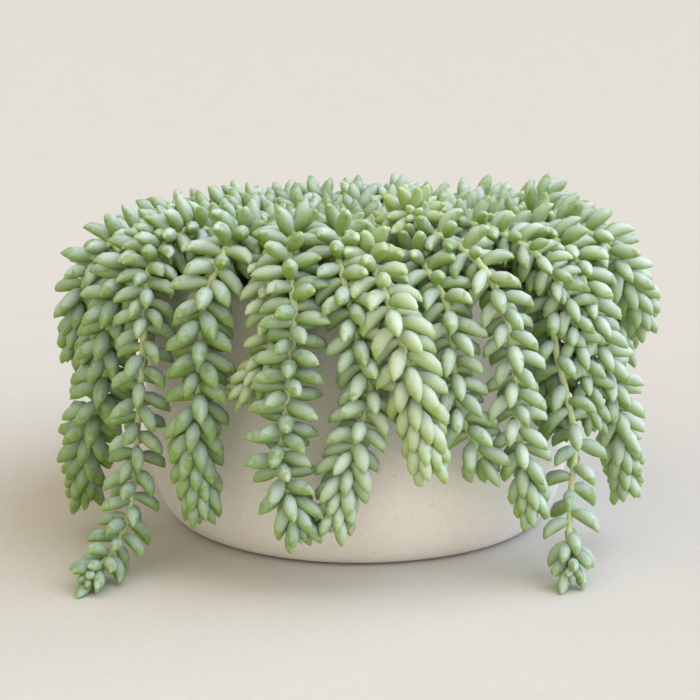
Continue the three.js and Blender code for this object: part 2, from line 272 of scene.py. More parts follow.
@dataclass(frozen=True)
class SideAndBack:
    """The long stems round the sides and the back, which hang in two layers.

    Attributes:
        count: how many there are.
        first: the first one's azimuth, in degrees.
        last: the last one's.
        roots: the radii at which they leave the soil, by turns.
        rim: the radius at which they pass over the rim.
        hangs: the radii at which they hang, by turns.
        crest: the height at which they pass over the rim.
        tilt: how much higher that is at the right, and lower at the left.
        crest_spread: the whole width of the draw for that height.
        shoulder_inward: how far inside its hanging radius a stem has its shoulder.
        shoulder_drop: how far under its crest it has it.
        fall_start: how far under its crest it comes to hang.
        low: the height of the tips behind the pot.
        high: the height of the other tips.
        back: the azimuth of the back.
        low_span: the degrees on either side of it within which the tips are low.
        tip_spread: the whole width of the draw for a tip's height.
        sway_spread: the same for the sway of a stem's middle, in degrees.
        longest: the number, counted from 0, of the stem that reaches the floor.
        trail: its last points there: degrees sideways, distance outwards and height.
    """

    count: int = 17
    first: float = 82
    last: float = 278
    roots: tuple[float, float] = (.078, .098)
    rim: float = .146
    hangs: tuple[float, float] = (.181, .190)
    crest: float = .200
    tilt: float = .003
    crest_spread: float = .008
    shoulder_inward: float = .014
    shoulder_drop: float = .013
    fall_start: float = .038
    low: float = .062
    high: float = .126
    back: float = 180
    low_span: float = 44
    tip_spread: float = .020
    sway_spread: float = 8
    longest: int = 10
    trail: tuple[Point, ...] = ((-1, .006, .030), (-4, .018, .012), (-9, .042, .011))

    def plans(self, draw: Draw) -> list[StemPlan]:
        """Lays out the stems with a seeded draw, in the order of their azimuths."""
        return [self._plan(k, draw) for k in range(self.count)]

    def _plan(self, k: int, draw: Draw) -> StemPlan:
        """Lays out one stem.

        Args:
            k: its number.
            draw: the seeded draw.

        Returns:
            Its plan.
        """
        azimuth = self.first + (self.last - self.first) * k / (self.count - 1)
        hang = self.hangs[k % 2]
        is_low = abs(azimuth - self.back) < self.low_span
        tip = (self.low if is_low else self.high) + draw.spread(self.tip_spread)
        sway = draw.spread(self.sway_spread)
        top = self.crest + self.tilt * math.sin(math.radians(azimuth)) + draw.spread(self.crest_spread)
        fall = top - self.fall_start
        route = [
            (azimuth, self.rim, top),
            (azimuth, hang - self.shoulder_inward, top - self.shoulder_drop),
            (azimuth + sway / 3, hang, fall),
            (azimuth + sway, hang, (fall + tip) / 2),
            (azimuth, hang, tip),
        ]
        if k == self.longest:
            route += [(azimuth + turn, hang + out, height) for turn, out, height in self.trail]
        return StemPlan((azimuth, self.roots[k % 2]), tuple(route))


@dataclass(frozen=True)
class MiddleShoots:
    """The short shoots in the middle of the pot, on a sunflower's spiral, leaning outwards.

    Attributes:
        count: how many there are.
        pitch: the spiral's pitch.
        start: how far along the spiral the first one stands, against the step between two.
        top: the height of their tips.
        top_spread: the whole width of the draw for that height.
        lean: how far outwards a tip stands from its root.
    """

    count: int = 13
    pitch: float = .017
    start: float = .4
    top: float = .199
    top_spread: float = .006
    lean: float = .014

    def plans(self, draw: Draw) -> list[StemPlan]:
        """Lays out the shoots.

        Args:
            draw: the seeded draw.

        Returns:
            One plan a shoot.
        """
        found = []
        for k in range(self.count):
            azimuth = k * math.degrees(GOLDEN_ANGLE)
            radius = self.pitch * math.sqrt(k + self.start)
            height = self.top + draw.spread(self.top_spread)
            route = ((azimuth, radius + self.lean, height),)
            found.append(StemPlan((azimuth, radius), route, Habit.SHOOT))
        return found


@dataclass
class StemLine:
    """A stem's smooth centre line, as close points with a frame that turns with it.

    Attributes:
        node: the name of the CAD node that the stem stands for.
        plan: the stem's plan.
        points: the points, a row each.
        ahead: the direction of the stem at each point.
        side: a direction square to the stem at each point, with no twist from one to the next.
        reach: the distance along the stem at each point.
    """

    START_SIDE = (.31, .95, .0)

    node: str
    plan: StemPlan
    points: np.ndarray
    ahead: np.ndarray = field(init=False)
    side: np.ndarray = field(init=False)
    reach: np.ndarray = field(init=False)

    def __post_init__(self) -> None:
        """Works out the directions and the distances."""
        steps = np.diff(self.points, axis=0)
        self.reach = np.concatenate(([0.0], np.cumsum(np.linalg.norm(steps, axis=1))))
        self.ahead = unit(np.gradient(self.points, axis=0))
        side = np.zeros_like(self.points)
        side[0] = np.cross(self.ahead[0], self.START_SIDE)
        for i in range(1, len(side)):
            side[i] = side[i - 1] - self.ahead[i] * (side[i - 1] @ self.ahead[i])
            side[i] /= np.linalg.norm(side[i])
        side[0] = side[1]
        self.side = side

    @property
    def length(self) -> float:
        """The stem's whole length."""
        return float(self.reach[-1])

    def sample(self, distance: float) -> tuple[np.ndarray, np.ndarray, np.ndarray]:
        """Reads the line at a distance from the root.

        Args:
            distance: the distance along the stem.

        Returns:
            The point, the direction ahead and the side direction.
        """
        place = [
            np.array([np.interp(distance, self.reach, column) for column in rows.T])
            for rows in (self.points, self.ahead, self.side)
        ]
        return place[0], unit(place[1]), unit(place[2])


@dataclass(frozen=True)
class StemRouter:
    """Turns plans into smooth centre lines, with a centripetal Catmull-Rom curve.

    Attributes:
        soil_top: the height of the soil.
        upright: the heights over the soil, from below it, at which a stem stands over its root.
        step: the distance between a line's points, about.
    """

    soil_top: float
    upright: tuple[float, ...] = (-.014, 0.0, .014, .022)
    step: float = .0015

    def line(self, node: str, plan: StemPlan) -> StemLine:
        """Runs one stem up out of the soil and along its route.

        Args:
            node: the CAD node's name.
            plan: the stem's plan.

        Returns:
            The centre line.
        """
        knots = [at(*plan.root, self.soil_top + height) for height in self.upright]
        knots += [at(*point) for point in plan.route]
        rows = [np.array(knot) for knot in knots]
        rows = [2 * rows[0] - rows[1], *rows, 2 * rows[-1] - rows[-2]]
        found = [rows[1]]
        for four in zip(rows, rows[1:], rows[2:], rows[3:]):
            count = max(2, round(float(np.linalg.norm(four[2] - four[1])) / self.step))
            found += [self._between(four, i / count) for i in range(1, count + 1)]
        return StemLine(node, plan, np.array(found))

    @staticmethod
    def _between(four: tuple[np.ndarray, ...], t: float) -> np.ndarray:
        """Gives a point between the middle two of four knots.

        Args:
            four: the knots.
            t: how far along, from 0 to 1.

        Returns:
            The point.
        """
        a, b, c, d = four
        spans = [math.sqrt(float(np.linalg.norm(q - p))) for p, q in ((a, b), (b, c), (c, d))]
        start = (b - a) / spans[0] - (c - a) / (spans[0] + spans[1]) + (c - b) / spans[1]
        end = (c - b) / spans[1] - (d - b) / (spans[1] + spans[2]) + (d - c) / spans[2]
        start, end = start * spans[1], end * spans[1]
        return (
            b
            + start * t
            + (3 * (c - b) - 2 * start - end) * t**2
            + (2 * (b - c) + start + end) * t**3
        )


class LeafForm(Enum):
    """The forms that a leaf comes in."""

    STRAIGHT = 0
    CURVED = 1
    HOOKED = 2
    BUD = 3


@dataclass(frozen=True)
class LeafShape:
    """A plump spindle leaf of length one that starts along +Z and bends towards +X.

    Attributes:
        form: which of the forms it is.
        bend: the angle in degrees that it turns from root to tip.
        girth: its widest radius.
        sides: how many sides its sections have.
        rings: the share of the length and of the girth at each section.
        keel: how far the ridges along the tip stand out, against the girth.
        keel_from: the share of the length from which there are ridges.
        ridges: how many ridges there are.
        root_depth: how far its end reaches back past its root, against its length.
    """

    form: LeafForm
    bend: float
    girth: float
    sides: int = 9
    rings: tuple[tuple[float, float], ...] = (
        (.05, .38), (.17, .69), (.34, .95), (.55, 1.0), (.76, .80), (.91, .39),
    )
    keel: float = .10
    keel_from: float = .7
    ridges: int = 3
    root_depth: float = .02

    def mesh(self) -> bpy.types.Object:
        """Builds the leaf, with its share of the way to the tip kept as an attribute.

        Returns:
            The leaf's object, not linked to the scene.
        """
        points: list[Point] = [(0.0, 0.0, -self.root_depth)]
        shares = [0.0]
        for t, width in self.rings:
            centre, ahead = self._spine(t)
            for i in range(self.sides):
                turn = 2 * math.pi * (i + .5) / self.sides
                radius = width * self.girth
                if t > self.keel_from:
                    radius *= 1 + self.keel * math.cos(self.ridges * (turn - math.pi))
                across = radius * math.cos(turn)
                points.append((
                    centre[0] + across * ahead[1],
                    radius * math.sin(turn),
                    centre[1] - across * ahead[0],
                ))
                shares.append(t)
        tip, _ = self._spine(1.0)
        points.append((tip[0], 0.0, tip[1]))
        shares.append(1.0)
        mesh = bpy.data.meshes.new("leaf_" + self.form.name.lower())
        mesh.from_pydata(points, [], self._faces())
        mesh.shade_smooth()
        mesh.attributes.new("to_tip", "FLOAT", "POINT").data.foreach_set("value", shares)
        return bpy.data.objects.new(mesh.name, mesh)

    def _spine(self, t: float) -> tuple[tuple[float, float], tuple[float, float]]:
        """Follows the leaf's middle line, which turns evenly.

        Args:
            t: the share of the way to the tip, more than 0.

        Returns:
            The place and the direction, each as its parts along +X and +Z.
        """
        turn = math.radians(self.bend) * t
        radius = t / turn
        return (radius * (1 - math.cos(turn)), radius * math.sin(turn)), (math.sin(turn), math.cos(turn))

    def _faces(self) -> list[list[int]]:
        """Lists the faces between the rings and round both ends.

        Returns:
            The corners of each face, counter-clockwise from outside.
        """
        n, last = self.sides, len(self.rings) - 1
        tip = 1 + n * len(self.rings)
        faces = []
        for i in range(n):
            j = (i + 1) % n
            faces.append([0, 1 + j, 1 + i])
            faces.append([tip, 1 + last * n + i, 1 + last * n + j])
            for ring in range(last):
                low = 1 + ring * n
                faces.append([low + i, low + j, low + n + j, low + n + i])
        return faces


LEAF_SHAPES = (
    LeafShape(LeafForm.STRAIGHT, 14, .202),
    LeafShape(LeafForm.CURVED, 44, .198),
    LeafShape(LeafForm.HOOKED, 84, .188),
    LeafShape(LeafForm.BUD, 16, .26),
)


@dataclass
class LeafBed:
    """All leaves of the plant as arrays, a row a leaf, while they find room beside each other.

    Attributes:
        root: where each leaf leaves its stem.
        aim: the direction in which it sets out.
        curl: the direction towards which it bends.
        length: its length.
        girth: its widest radius.
        form: its form's number.
        tint: its warmth between 0 and 1, with a draw; partly painted light, as its stem's warmth and the
            painted sun are.
        owner: the number of its stem.
    """

    root: np.ndarray
    aim: np.ndarray
    curl: np.ndarray
    length: np.ndarray
    girth: np.ndarray
    form: np.ndarray
    tint: np.ndarray
    owner: np.ndarray


@dataclass(frozen=True)
class LeafGrower:
    """Sets leaves round a stem at golden-angle turns, closer and more folded towards its tip.

    Attributes:
        bare_foot: the distance from a stem's root to its first leaf.
        last_root: the distance from its last leaf to its tip.
        leaf_length: the usual leaf's length.
        bunch_length: the length at the very tip, against a leaf of the open stretch.
        bunch_girth: the girth there, against one of the open stretch.
        blunt_end: how far past the stem's tip a folded leaf may reach.
        least_cosine: the least that its reach is divided by for its slant.
        bud_length: the length of a bud at the very tip.
        bud_growth: how much longer a bud is for each metre from the tip.
        bud_zone: the distance from the tip over which the leaves are buds.
        angle_spread: the standard deviation of a leaf's opening, in degrees.
        turn_spread: the same of its turn round the stem.
        length_spread: the same of its length, as a share.
        foot_spacing: distance between neighbouring leaves at the stem's foot.
        curved_until: the draw up to which a leaf is curved, on a stem with no hooked ones.
        hooked_shift: how far hooked leaves raise that level.
        warmth_spread: the whole width of the draw for a leaf's warmth.
        sunny_level: the height from which the leaves are painted paler, as painted light on the top of the
            plant.
        sunny_radius: the distance from the pot's axis from which it does.
        sunny_rise: the distance over which both come in.
        sunny_warmth: the warmth where this painted light is full.
    """

    bare_foot: float = .015
    last_root: float = .002
    leaf_length: float = .0238
    bunch_length: float = .98
    bunch_girth: float = .76
    blunt_end: float = .0150
    least_cosine: float = .3
    bud_length: float = .009
    bud_growth: float = .8
    bud_zone: float = .005
    angle_spread: float = 4.5
    turn_spread: float = 5.5
    length_spread: float = .04
    foot_spacing: float = .0020
    curved_until: float = .8
    hooked_shift: float = .2
    warmth_spread: float = .5
    sunny_level: float = .165
    sunny_radius: float = .095
    sunny_rise: float = .045
    sunny_warmth: float = .60

    def grow(self, lines: Iterable[StemLine]) -> LeafBed:
        """Sets the leaves of every stem.

        Args:
            lines: the stems.

        Returns:
            The leaves, before they make room for each other.
        """
        rows = [row for owner, line in enumerate(lines) for row in self._leaves(line, owner)]
        columns = [np.array(column) for column in zip(*rows)]
        return LeafBed(*columns)

    def _leaves(self, line: StemLine, owner: int) -> list[tuple]:
        """Sets the leaves of one stem.

        Args:
            line: the stem.
            owner: the stem's number.

        Returns:
            One row a leaf, in the order of the bed's columns.
        """
        rng = np.random.default_rng([SEED, owner])
        rows = []
        growth = line.plan.habit.value
        turn = rng.uniform(0, 2 * math.pi)
        end = line.length - self.last_root
        distance = self.bare_foot
        while distance < end:
            open_share = min(1.0, (end - distance) / growth.bunch)
            eased = math.sin(open_share * math.pi / 2)
            is_bud = end - distance < self.bud_zone
            form = LeafForm.BUD if is_bud else self._form(growth, open_share, rng)
            point, ahead, side = line.sample(distance)
            spin = turn + math.radians(rng.normal(0, self.turn_spread))
            lift = math.radians(
                growth.fold + (growth.opening - growth.fold) * open_share
                + LEAF_SHAPES[form.value].bend / 2
                + rng.normal(0, self.angle_spread) * eased
            )
            away = side * math.cos(spin) + np.cross(ahead, side) * math.sin(spin)
            aim = away * math.sin(lift) + ahead * math.cos(lift)
            curl = ahead * math.sin(lift) - away * math.cos(lift)
            length = self.leaf_length * growth.size * (1 + rng.normal(0, self.length_spread))
            length *= self.bunch_length + (1 - self.bunch_length) * eased
            slant = max(self.least_cosine, math.cos(lift))
            length = min(length, (end - distance + self.blunt_end) / slant)
            girth = length * LEAF_SHAPES[form.value].girth * growth.plump
            if is_bud:
                length = self.bud_length + (end - distance) * self.bud_growth
                girth = length * LEAF_SHAPES[form.value].girth
            else:
                girth *= self.bunch_girth + (1 - self.bunch_girth) * eased
            # Painted light: leaves on the top of the plant and on the stems' shoulders are painted paler,
            # where more light falls.
            warmth = growth.warmth + (self.sunny_warmth - growth.warmth) * self._painted_sun(point)
            warmth += self.warmth_spread * (rng.random() - .5)
            tint = min(1.0, max(0.0, warmth))
            rows.append((point, aim, curl, length, girth, form.value, tint, owner))
            turn += GOLDEN_ANGLE
            spacing = self.foot_spacing if distance < growth.foot else growth.spacing
            distance += growth.crowd + (spacing - growth.crowd) * open_share**2
        return rows

    def _painted_sun(self, point: np.ndarray) -> float:
        """Finds how far a leaf is painted paler, as painted light on the top of the plant and the shoulders
        of its stems.

        Args:
            point: its root.

        Returns:
            A share, 0 in the middle and below, and 1 on the shoulders of the hanging stems.
        """
        above = (point[2] - self.sunny_level) / self.sunny_rise
        outside = (math.hypot(point[0], point[1]) - self.sunny_radius) / self.sunny_rise
        return min(1.0, max(0.0, above)) * min(1.0, max(0.0, outside))

    def _form(self, growth: Growth, open_share: float, rng: np.random.Generator) -> LeafForm:
        """Picks a leaf's form.

        Args:
            growth: how the stem's leaves stand.
            open_share: 0 at the tip and 1 along the open stretch.
            rng: the seeded generator.

        Returns:
            The form.
        """
        draw = rng.random()
        if draw < growth.hooked * open_share:
            return LeafForm.HOOKED
        is_straight = draw > self.curved_until + self.hooked_shift * growth.hooked
        return LeafForm.STRAIGHT if is_straight else LeafForm.CURVED


@dataclass(frozen=True)
class Room:
    """The room that the leaves have: over the floor, clear of the pot and soil, within the plant's box.

    Attributes:
        pot_radius: the pot's outer radius.
        pot_top: the height of its rim.
        wall: its wall.
        soil_top: the height of the soil.
        lowest: the box's lowest corner.
        highest: the box's highest corner.
        gap: how far the leaves are pushed clear of what they rest on.
    """

    pot_radius: float
    pot_top: float
    wall: float
    soil_top: float
    lowest: np.ndarray
    highest: np.ndarray
    gap: float = .0004

    def push(self, centres: np.ndarray, radii: np.ndarray) -> np.ndarray:
        """Finds how far balls have to move to come clear.

        Args:
            centres: the balls' centres, a row each.
            radii: the balls' radii.

        Returns:
            The moves, a row each, zero for a ball that is clear.
        """
        moves = np.zeros_like(centres)
        flat = np.linalg.norm(centres[:, :2], axis=1)
        out = centres[:, :2] / np.maximum(flat, TINY)[:, None]
        low = centres[:, 2] - radii - self.gap
        reach = radii[:, None]
        moves += np.maximum(0, self.lowest - (centres - reach))
        moves -= np.maximum(0, centres + reach - self.highest)
        beside = (centres[:, 2] < self.pot_top) & (flat > self.pot_radius - self.wall / 2)
        depth = np.maximum(0, self.pot_radius + self.gap + radii - flat) * beside
        moves[:, :2] += out * depth[:, None]
        inner = self.pot_radius - self.wall
        over_rim = (flat + radii > inner) & (flat <= self.pot_radius - self.wall / 2)
        floor = np.where(over_rim, self.pot_top, self.soil_top)
        inside = (flat < self.pot_radius) & ~beside
        moves[:, 2] += np.maximum(0, floor - low) * inside
        return moves


@dataclass
class LeafSettler:
    """Turns the leaves about their roots, so that they press less into each other and into the pot.

    Where many grow close together, as in the crown, some still cross.

    Attributes:
        room: the room that they have.
        rounds: how often every leaf is moved.
        last_rounds: how often, after that, it is moved for its room alone.
        last_gain: how much further it then moves.
        refresh: the rounds after which neighbours are looked for again.
        stiffness: how strongly a leaf keeps to its own direction.
        gain: the share of a move that is made in one round.
        most_turn: the furthest that a leaf turns in one round.
        stem_radius: the radius that other stems keep free.
        stem_yield: what a move away from a stem is divided by.
        stem_stride: the step between the points of a stem that are tested.
        reach: the distance within which two balls are neighbours.
        stem_reach: the same for a ball and a stem's point.
        balls: the balls that stand for a leaf, as shares of its length and its girth.
    """

    room: Room
    rounds: int = 36
    last_rounds: int = 12
    last_gain: float = 2.5
    refresh: int = 6
    stiffness: float = .06
    gain: float = .5
    most_turn: float = .16
    stem_radius: float = .0022
    stem_yield: float = 3
    stem_stride: int = 2
    reach: float = .0155
    stem_reach: float = .00775
    balls: tuple[tuple[float, float], ...] = ((.36, .60), (.56, .92), (.75, .80), (.90, .42), (1.0, .06))

    def settle(self, bed: LeafBed, lines: list[StemLine]) -> None:
        """Settles the leaves, in place.

        Args:
            bed: the leaves.
            lines: the stems that they also keep clear of.
        """
        home = bed.aim.copy()
        stem_points = np.concatenate([line.points[::self.stem_stride] for line in lines])
        for round_number in range(self.rounds):
            centres, radii = self._balls(bed)
            if round_number % self.refresh == 0:
                leaf_pairs, stem_pairs = self._pairs(centres, bed, stem_points, lines)
            moves = self.room.push(centres, radii)
            self._press_leaves(centres, radii, leaf_pairs, moves)
            self._press_stems(centres, radii, stem_points, stem_pairs, moves)
            self._turn(bed, centres, moves, home)
        for _ in range(self.last_rounds):
            centres, radii = self._balls(bed)
            self._turn(bed, centres, self.room.push(centres, radii) * self.last_gain, bed.aim)

    def _balls(self, bed: LeafBed) -> tuple[np.ndarray, np.ndarray]:
        """Covers each leaf with balls along its bent middle line.

        Args:
            bed: the leaves.

        Returns:
            The balls' centres, leaf by leaf, and their radii.
        """
        bends = np.radians([shape.bend for shape in LEAF_SHAPES])[bed.form]
        centres, radii = [], []
        for t, share in self.balls:
            turn = bends * t
            ahead = bed.length * t * np.sin(turn) / turn
            over = bed.length * t * (1 - np.cos(turn)) / turn
            centres.append(bed.root + bed.aim * ahead[:, None] + bed.curl * over[:, None])
            radii.append(bed.girth * share)
        return np.stack(centres, 1).reshape(-1, 3), np.stack(radii, 1).reshape(-1)

    def _pairs(
        self, centres: np.ndarray, bed: LeafBed, stem_points: np.ndarray, lines: list[StemLine]
    ) -> tuple[np.ndarray, np.ndarray]:
        """Lists the balls of different leaves that lie near, and those near another stem.

        Args:
            centres: the balls' centres.
            bed: the leaves.
            stem_points: points along every stem.
            lines: the stems.

        Returns:
            Pairs of balls, and pairs of a ball and a stem's point.
        """
        per_leaf = len(self.balls)
        tree = KDTree(len(centres))
        for i, centre in enumerate(centres):
            tree.insert(centre, i)
        tree.balance()
        leaf_pairs = []
        for i, centre in enumerate(centres):
            for _, j, _ in tree.find_range(centre, self.reach):
                if j > i and j // per_leaf != i // per_leaf:
                    leaf_pairs.append((i, j))
        counts = [len(line.points[::self.stem_stride]) for line in lines]
        owners = np.repeat(np.arange(len(lines)), counts)
        stem_pairs = []
        for k, point in enumerate(stem_points):
            for _, i, _ in tree.find_range(point, self.stem_reach):
                if bed.owner[i // per_leaf] != owners[k]:
                    stem_pairs.append((i, k))
        return np.array(leaf_pairs), np.array(stem_pairs).reshape(-1, 2)

    @staticmethod
    def _press_leaves(
        centres: np.ndarray, radii: np.ndarray, pairs: np.ndarray, moves: np.ndarray
    ) -> None:
        """Adds the moves that part pairs of balls, half to each.

        Args:
            centres: the balls' centres.
            radii: their radii.
            pairs: the pairs.
            moves: the moves so far, added to in place.
        """
        a, b = pairs[:, 0], pairs[:, 1]
        apart = centres[b] - centres[a]
        distance = np.maximum(np.linalg.norm(apart, axis=1), TINY)
        depth = np.maximum(0, radii[a] + radii[b] - distance)
        push = apart / distance[:, None] * depth[:, None] / 2
        np.add.at(moves, a, -push)
        np.add.at(moves, b, push)

    def _press_stems(
        self, centres: np.ndarray, radii: np.ndarray, points: np.ndarray, pairs: np.ndarray,
        moves: np.ndarray,
    ) -> None:
        """Adds the moves that take balls out of other stems.

        Args:
            centres: the balls' centres.
            radii: their radii.
            points: points along the stems.
            pairs: pairs of a ball and a point.
            moves: the moves so far, added to in place.
        """
        i, k = pairs[:, 0], pairs[:, 1]
        apart = centres[i] - points[k]
        distance = np.maximum(np.linalg.norm(apart, axis=1), TINY)
        depth = np.maximum(0, radii[i] + self.stem_radius - distance)
        np.add.at(moves, i, apart / distance[:, None] * depth[:, None] / self.stem_yield)

    def _turn(
        self, bed: LeafBed, centres: np.ndarray, moves: np.ndarray, home: np.ndarray
    ) -> None:
        """Turns each leaf about its root as its balls are pushed.

        Args:
            bed: the leaves, turned in place.
            centres: the balls' centres.
            moves: the balls' moves.
            home: the directions in which the leaves want to grow.
        """
        per_leaf = len(self.balls)
        arms = centres.reshape(-1, per_leaf, 3) - bed.root[:, None, :]
        lever = np.maximum((arms**2).sum(-1).sum(-1, keepdims=True), TINY)
        twist = np.cross(arms, moves.reshape(-1, per_leaf, 3)).sum(1) / lever * per_leaf * self.gain
        twist += np.cross(bed.aim, home) * self.stiffness
        angle = np.linalg.norm(twist, axis=1, keepdims=True)
        twist *= np.minimum(1, self.most_turn / np.maximum(angle, TINY))
        for rows in (bed.aim, bed.curl):
            rows += np.cross(twist, rows)
        bed.aim[:] = unit(bed.aim)
        bed.curl -= bed.aim * (bed.curl * bed.aim).sum(1, keepdims=True)
        bed.curl[:] = unit(bed.curl)


@dataclass(frozen=True)
class Noise:
    """A noise pattern: its scale per metre, its octaves and how strong the finer ones are."""

    scale: float
    detail: float
    roughness: float = .5


@dataclass(frozen=True)
class Patches:
    """Irregular patches: their scale per metre, how much they cover and how soft their edges are."""

    scale: float
    cover: float
    edge: float


@dataclass(frozen=True)
class Bump:
    """How strongly, and how deep in metres, a pattern raises a surface."""

    strength: float
    distance: float


# The numbers of the colour sockets on Blender's mix node: the share, the two colours and the result.
MIX_SHARE, MIX_LOW, MIX_HIGH, MIX_RESULT = 0, 6, 7, 2


class NodeGroup:
    """A short way to add and join nodes in a tree."""

    def __init__(self, tree: bpy.types.NodeTree) -> None:
        """Takes the tree that is filled."""
        self.tree = tree

    def fill(self, node: bpy.types.Node, inputs: dict[str | int, object]) -> None:
        """Sets a node's inputs, or links them.

        Args:
            node: the node.
            inputs: values or output sockets for its inputs, by name or number.
        """
        for name, value in inputs.items():
            socket = node.inputs[name]
            if isinstance(value, bpy.types.NodeSocket):
                self.tree.links.new(value, socket)
            else:
                socket.default_value = value

    def add(
        self, kind: str, inputs: dict[str | int, object] | None = None, **settings: object
    ) -> bpy.types.Node:
        """Adds a node.

        Args:
            kind: the node's class name.
            inputs: values or output sockets for its inputs, by name or number.
            settings: its other settings.

        Returns:
            The node.
        """
        node = self.tree.nodes.new(kind)
        for name, value in settings.items():
            setattr(node, name, value)
        self.fill(node, inputs or {})
        return node

    def math(self, operation: str, *values: object, clamp: bool = False) -> bpy.types.NodeSocket:
        """Adds a math node on numbers or sockets, with its result kept from 0 to 1 where clamp says so."""
        node = self.add("ShaderNodeMath", dict(enumerate(values)), operation=operation, use_clamp=clamp)
        return node.outputs[0]

    def blend(self, share: object, low: object, high: object) -> bpy.types.NodeSocket:
        """Mixes two colours, as far towards the second as share says."""
        inputs = {MIX_SHARE: share, MIX_LOW: low, MIX_HIGH: high}
        return self.add("ShaderNodeMix", inputs, data_type="RGBA").outputs[MIX_RESULT]

    def steps(self, value: bpy.types.NodeSocket, low: object, high: object) -> bpy.types.NodeSocket:
        """Adds a smooth step from 0, where the value is low, to 1, where it is high."""
        inputs = {"Value": value, "From Min": low, "From Max": high}
        return self.add("ShaderNodeMapRange", inputs, interpolation_type="SMOOTHSTEP").outputs["Result"]

    def noise(self, place: bpy.types.NodeSocket, kind: Noise) -> bpy.types.NodeSocket:
        """Adds a noise pattern that is read at a place."""
        inputs = {"Vector": place, "Scale": kind.scale, "Detail": kind.detail, "Roughness": kind.roughness}
        return self.add("ShaderNodeTexNoise", inputs).outputs["Fac"]

    def bump(self, height: bpy.types.NodeSocket, kind: Bump) -> bpy.types.NodeSocket:
        """Turns a height into a surface normal."""
        inputs = {"Height": height, "Strength": kind.strength, "Distance": kind.distance}
        return self.add("ShaderNodeBump", inputs).outputs[0]

    def place(self) -> bpy.types.NodeSocket:
        """Reads the place in the piece's own coordinates."""
        return self.add("ShaderNodeTexCoord").outputs["Object"]

    def attribute(self, name: str) -> bpy.types.NodeSocket:
        """Reads an attribute of the mesh in a material."""
        return self.add("ShaderNodeAttribute", attribute_name=name).outputs["Fac"]


@dataclass(frozen=True)
class LeafyStemTree:
    """The tree that makes one stem: a round stem along its line, and a leaf at each point."""

    name: str = "leafy stem"
    stem_sides: int = 9

    def build(self) -> bpy.types.NodeTree:
        """Builds the tree.

        Returns:
            The tree, with its inputs named.
        """
        tree = bpy.data.node_groups.new(self.name, "GeometryNodeTree")
        for name, kind in (
            ("Points", "NodeSocketGeometry"),
            ("Leaf Shapes", "NodeSocketCollection"),
            ("Leaf Finish", "NodeSocketMaterial"),
            ("Stem Finish", "NodeSocketMaterial"),
            ("Stem Sides", "NodeSocketInt"),
        ):
            tree.interface.new_socket(name, in_out="INPUT", socket_type=kind)
        tree.interface.new_socket("Stem", in_out="OUTPUT", socket_type="NodeSocketGeometry")
        group = NodeGroup(tree)
        given = group.add("NodeGroupInput").outputs
        parted = group.add(
            "GeometryNodeSeparateGeometry",
            {"Geometry": given["Points"], "Selection": self._read(group, "is_leaf", "BOOLEAN")},
        )
        leaves = self._leaves(group, given, parted.outputs["Selection"])
        stem = self._stem(group, given, parted.outputs["Inverted"])
        joined = group.add("GeometryNodeJoinGeometry")
        for socket in (stem, leaves):
            tree.links.new(socket, joined.inputs[0])
        group.add("NodeGroupOutput", {"Stem": joined.outputs[0]})
        return tree

    @staticmethod
    def _read(group: NodeGroup, name: str, kind: str) -> bpy.types.NodeSocket:
        """Reads an attribute of the points by its name and data type."""
        node = group.add("GeometryNodeInputNamedAttribute", {"Name": name}, data_type=kind)
        return node.outputs["Attribute"]

    def _leaves(
        self, group: NodeGroup, given: bpy.types.NodeOutputs, points: bpy.types.NodeSocket
    ) -> bpy.types.NodeSocket:
        """Sets a leaf of its own form, turn and size at each point.

        Args:
            group: the tree.
            given: the tree's inputs.
            points: the points.

        Returns:
            The leaves as real geometry in their finish.
        """
        shapes = group.add(
            "GeometryNodeCollectionInfo",
            {"Collection": given["Leaf Shapes"], "Separate Children": True, "Reset Children": True},
        )
        set_out = group.add(
            "GeometryNodeInstanceOnPoints",
            {
                "Points": points,
                "Instance": shapes.outputs[0],
                "Pick Instance": True,
                "Instance Index": self._read(group, "form", "INT"),
                "Rotation": self._read(group, "facing", "QUATERNION"),
                "Scale": self._read(group, "size", "FLOAT_VECTOR"),
            },
        )
        real = group.add("GeometryNodeRealizeInstances", {"Geometry": set_out.outputs[0]})
        done = {"Geometry": real.outputs[0], "Material": given["Leaf Finish"]}
        return group.add("GeometryNodeSetMaterial", done).outputs[0]

    def _stem(
        self, group: NodeGroup, given: bpy.types.NodeOutputs, line: bpy.types.NodeSocket
    ) -> bpy.types.NodeSocket:
        """Runs a round stem along the line.

        Args:
            group: the tree.
            given: the tree's inputs.
            line: the line, as edges.

        Returns:
            The stem in its finish.
        """
        curve = group.add("GeometryNodeMeshToCurve", {"Mesh": line})
        section = group.add(
            "GeometryNodeCurvePrimitiveCircle", {"Resolution": given["Stem Sides"], "Radius": 1.0}
        )
        tube = group.add(
            "GeometryNodeCurveToMesh",
            {
                "Curve": curve.outputs[0],
                "Profile Curve": section.outputs[0],
                "Scale": self._read(group, "girth", "FLOAT"),
                "Fill Caps": True,
            },
        )
        smooth = group.add("GeometryNodeSetShadeSmooth", {"Geometry": tube.outputs[0]})
        done = {"Geometry": smooth.outputs[0], "Material": given["Stem Finish"]}
        return group.add("GeometryNodeSetMaterial", done).outputs[0]


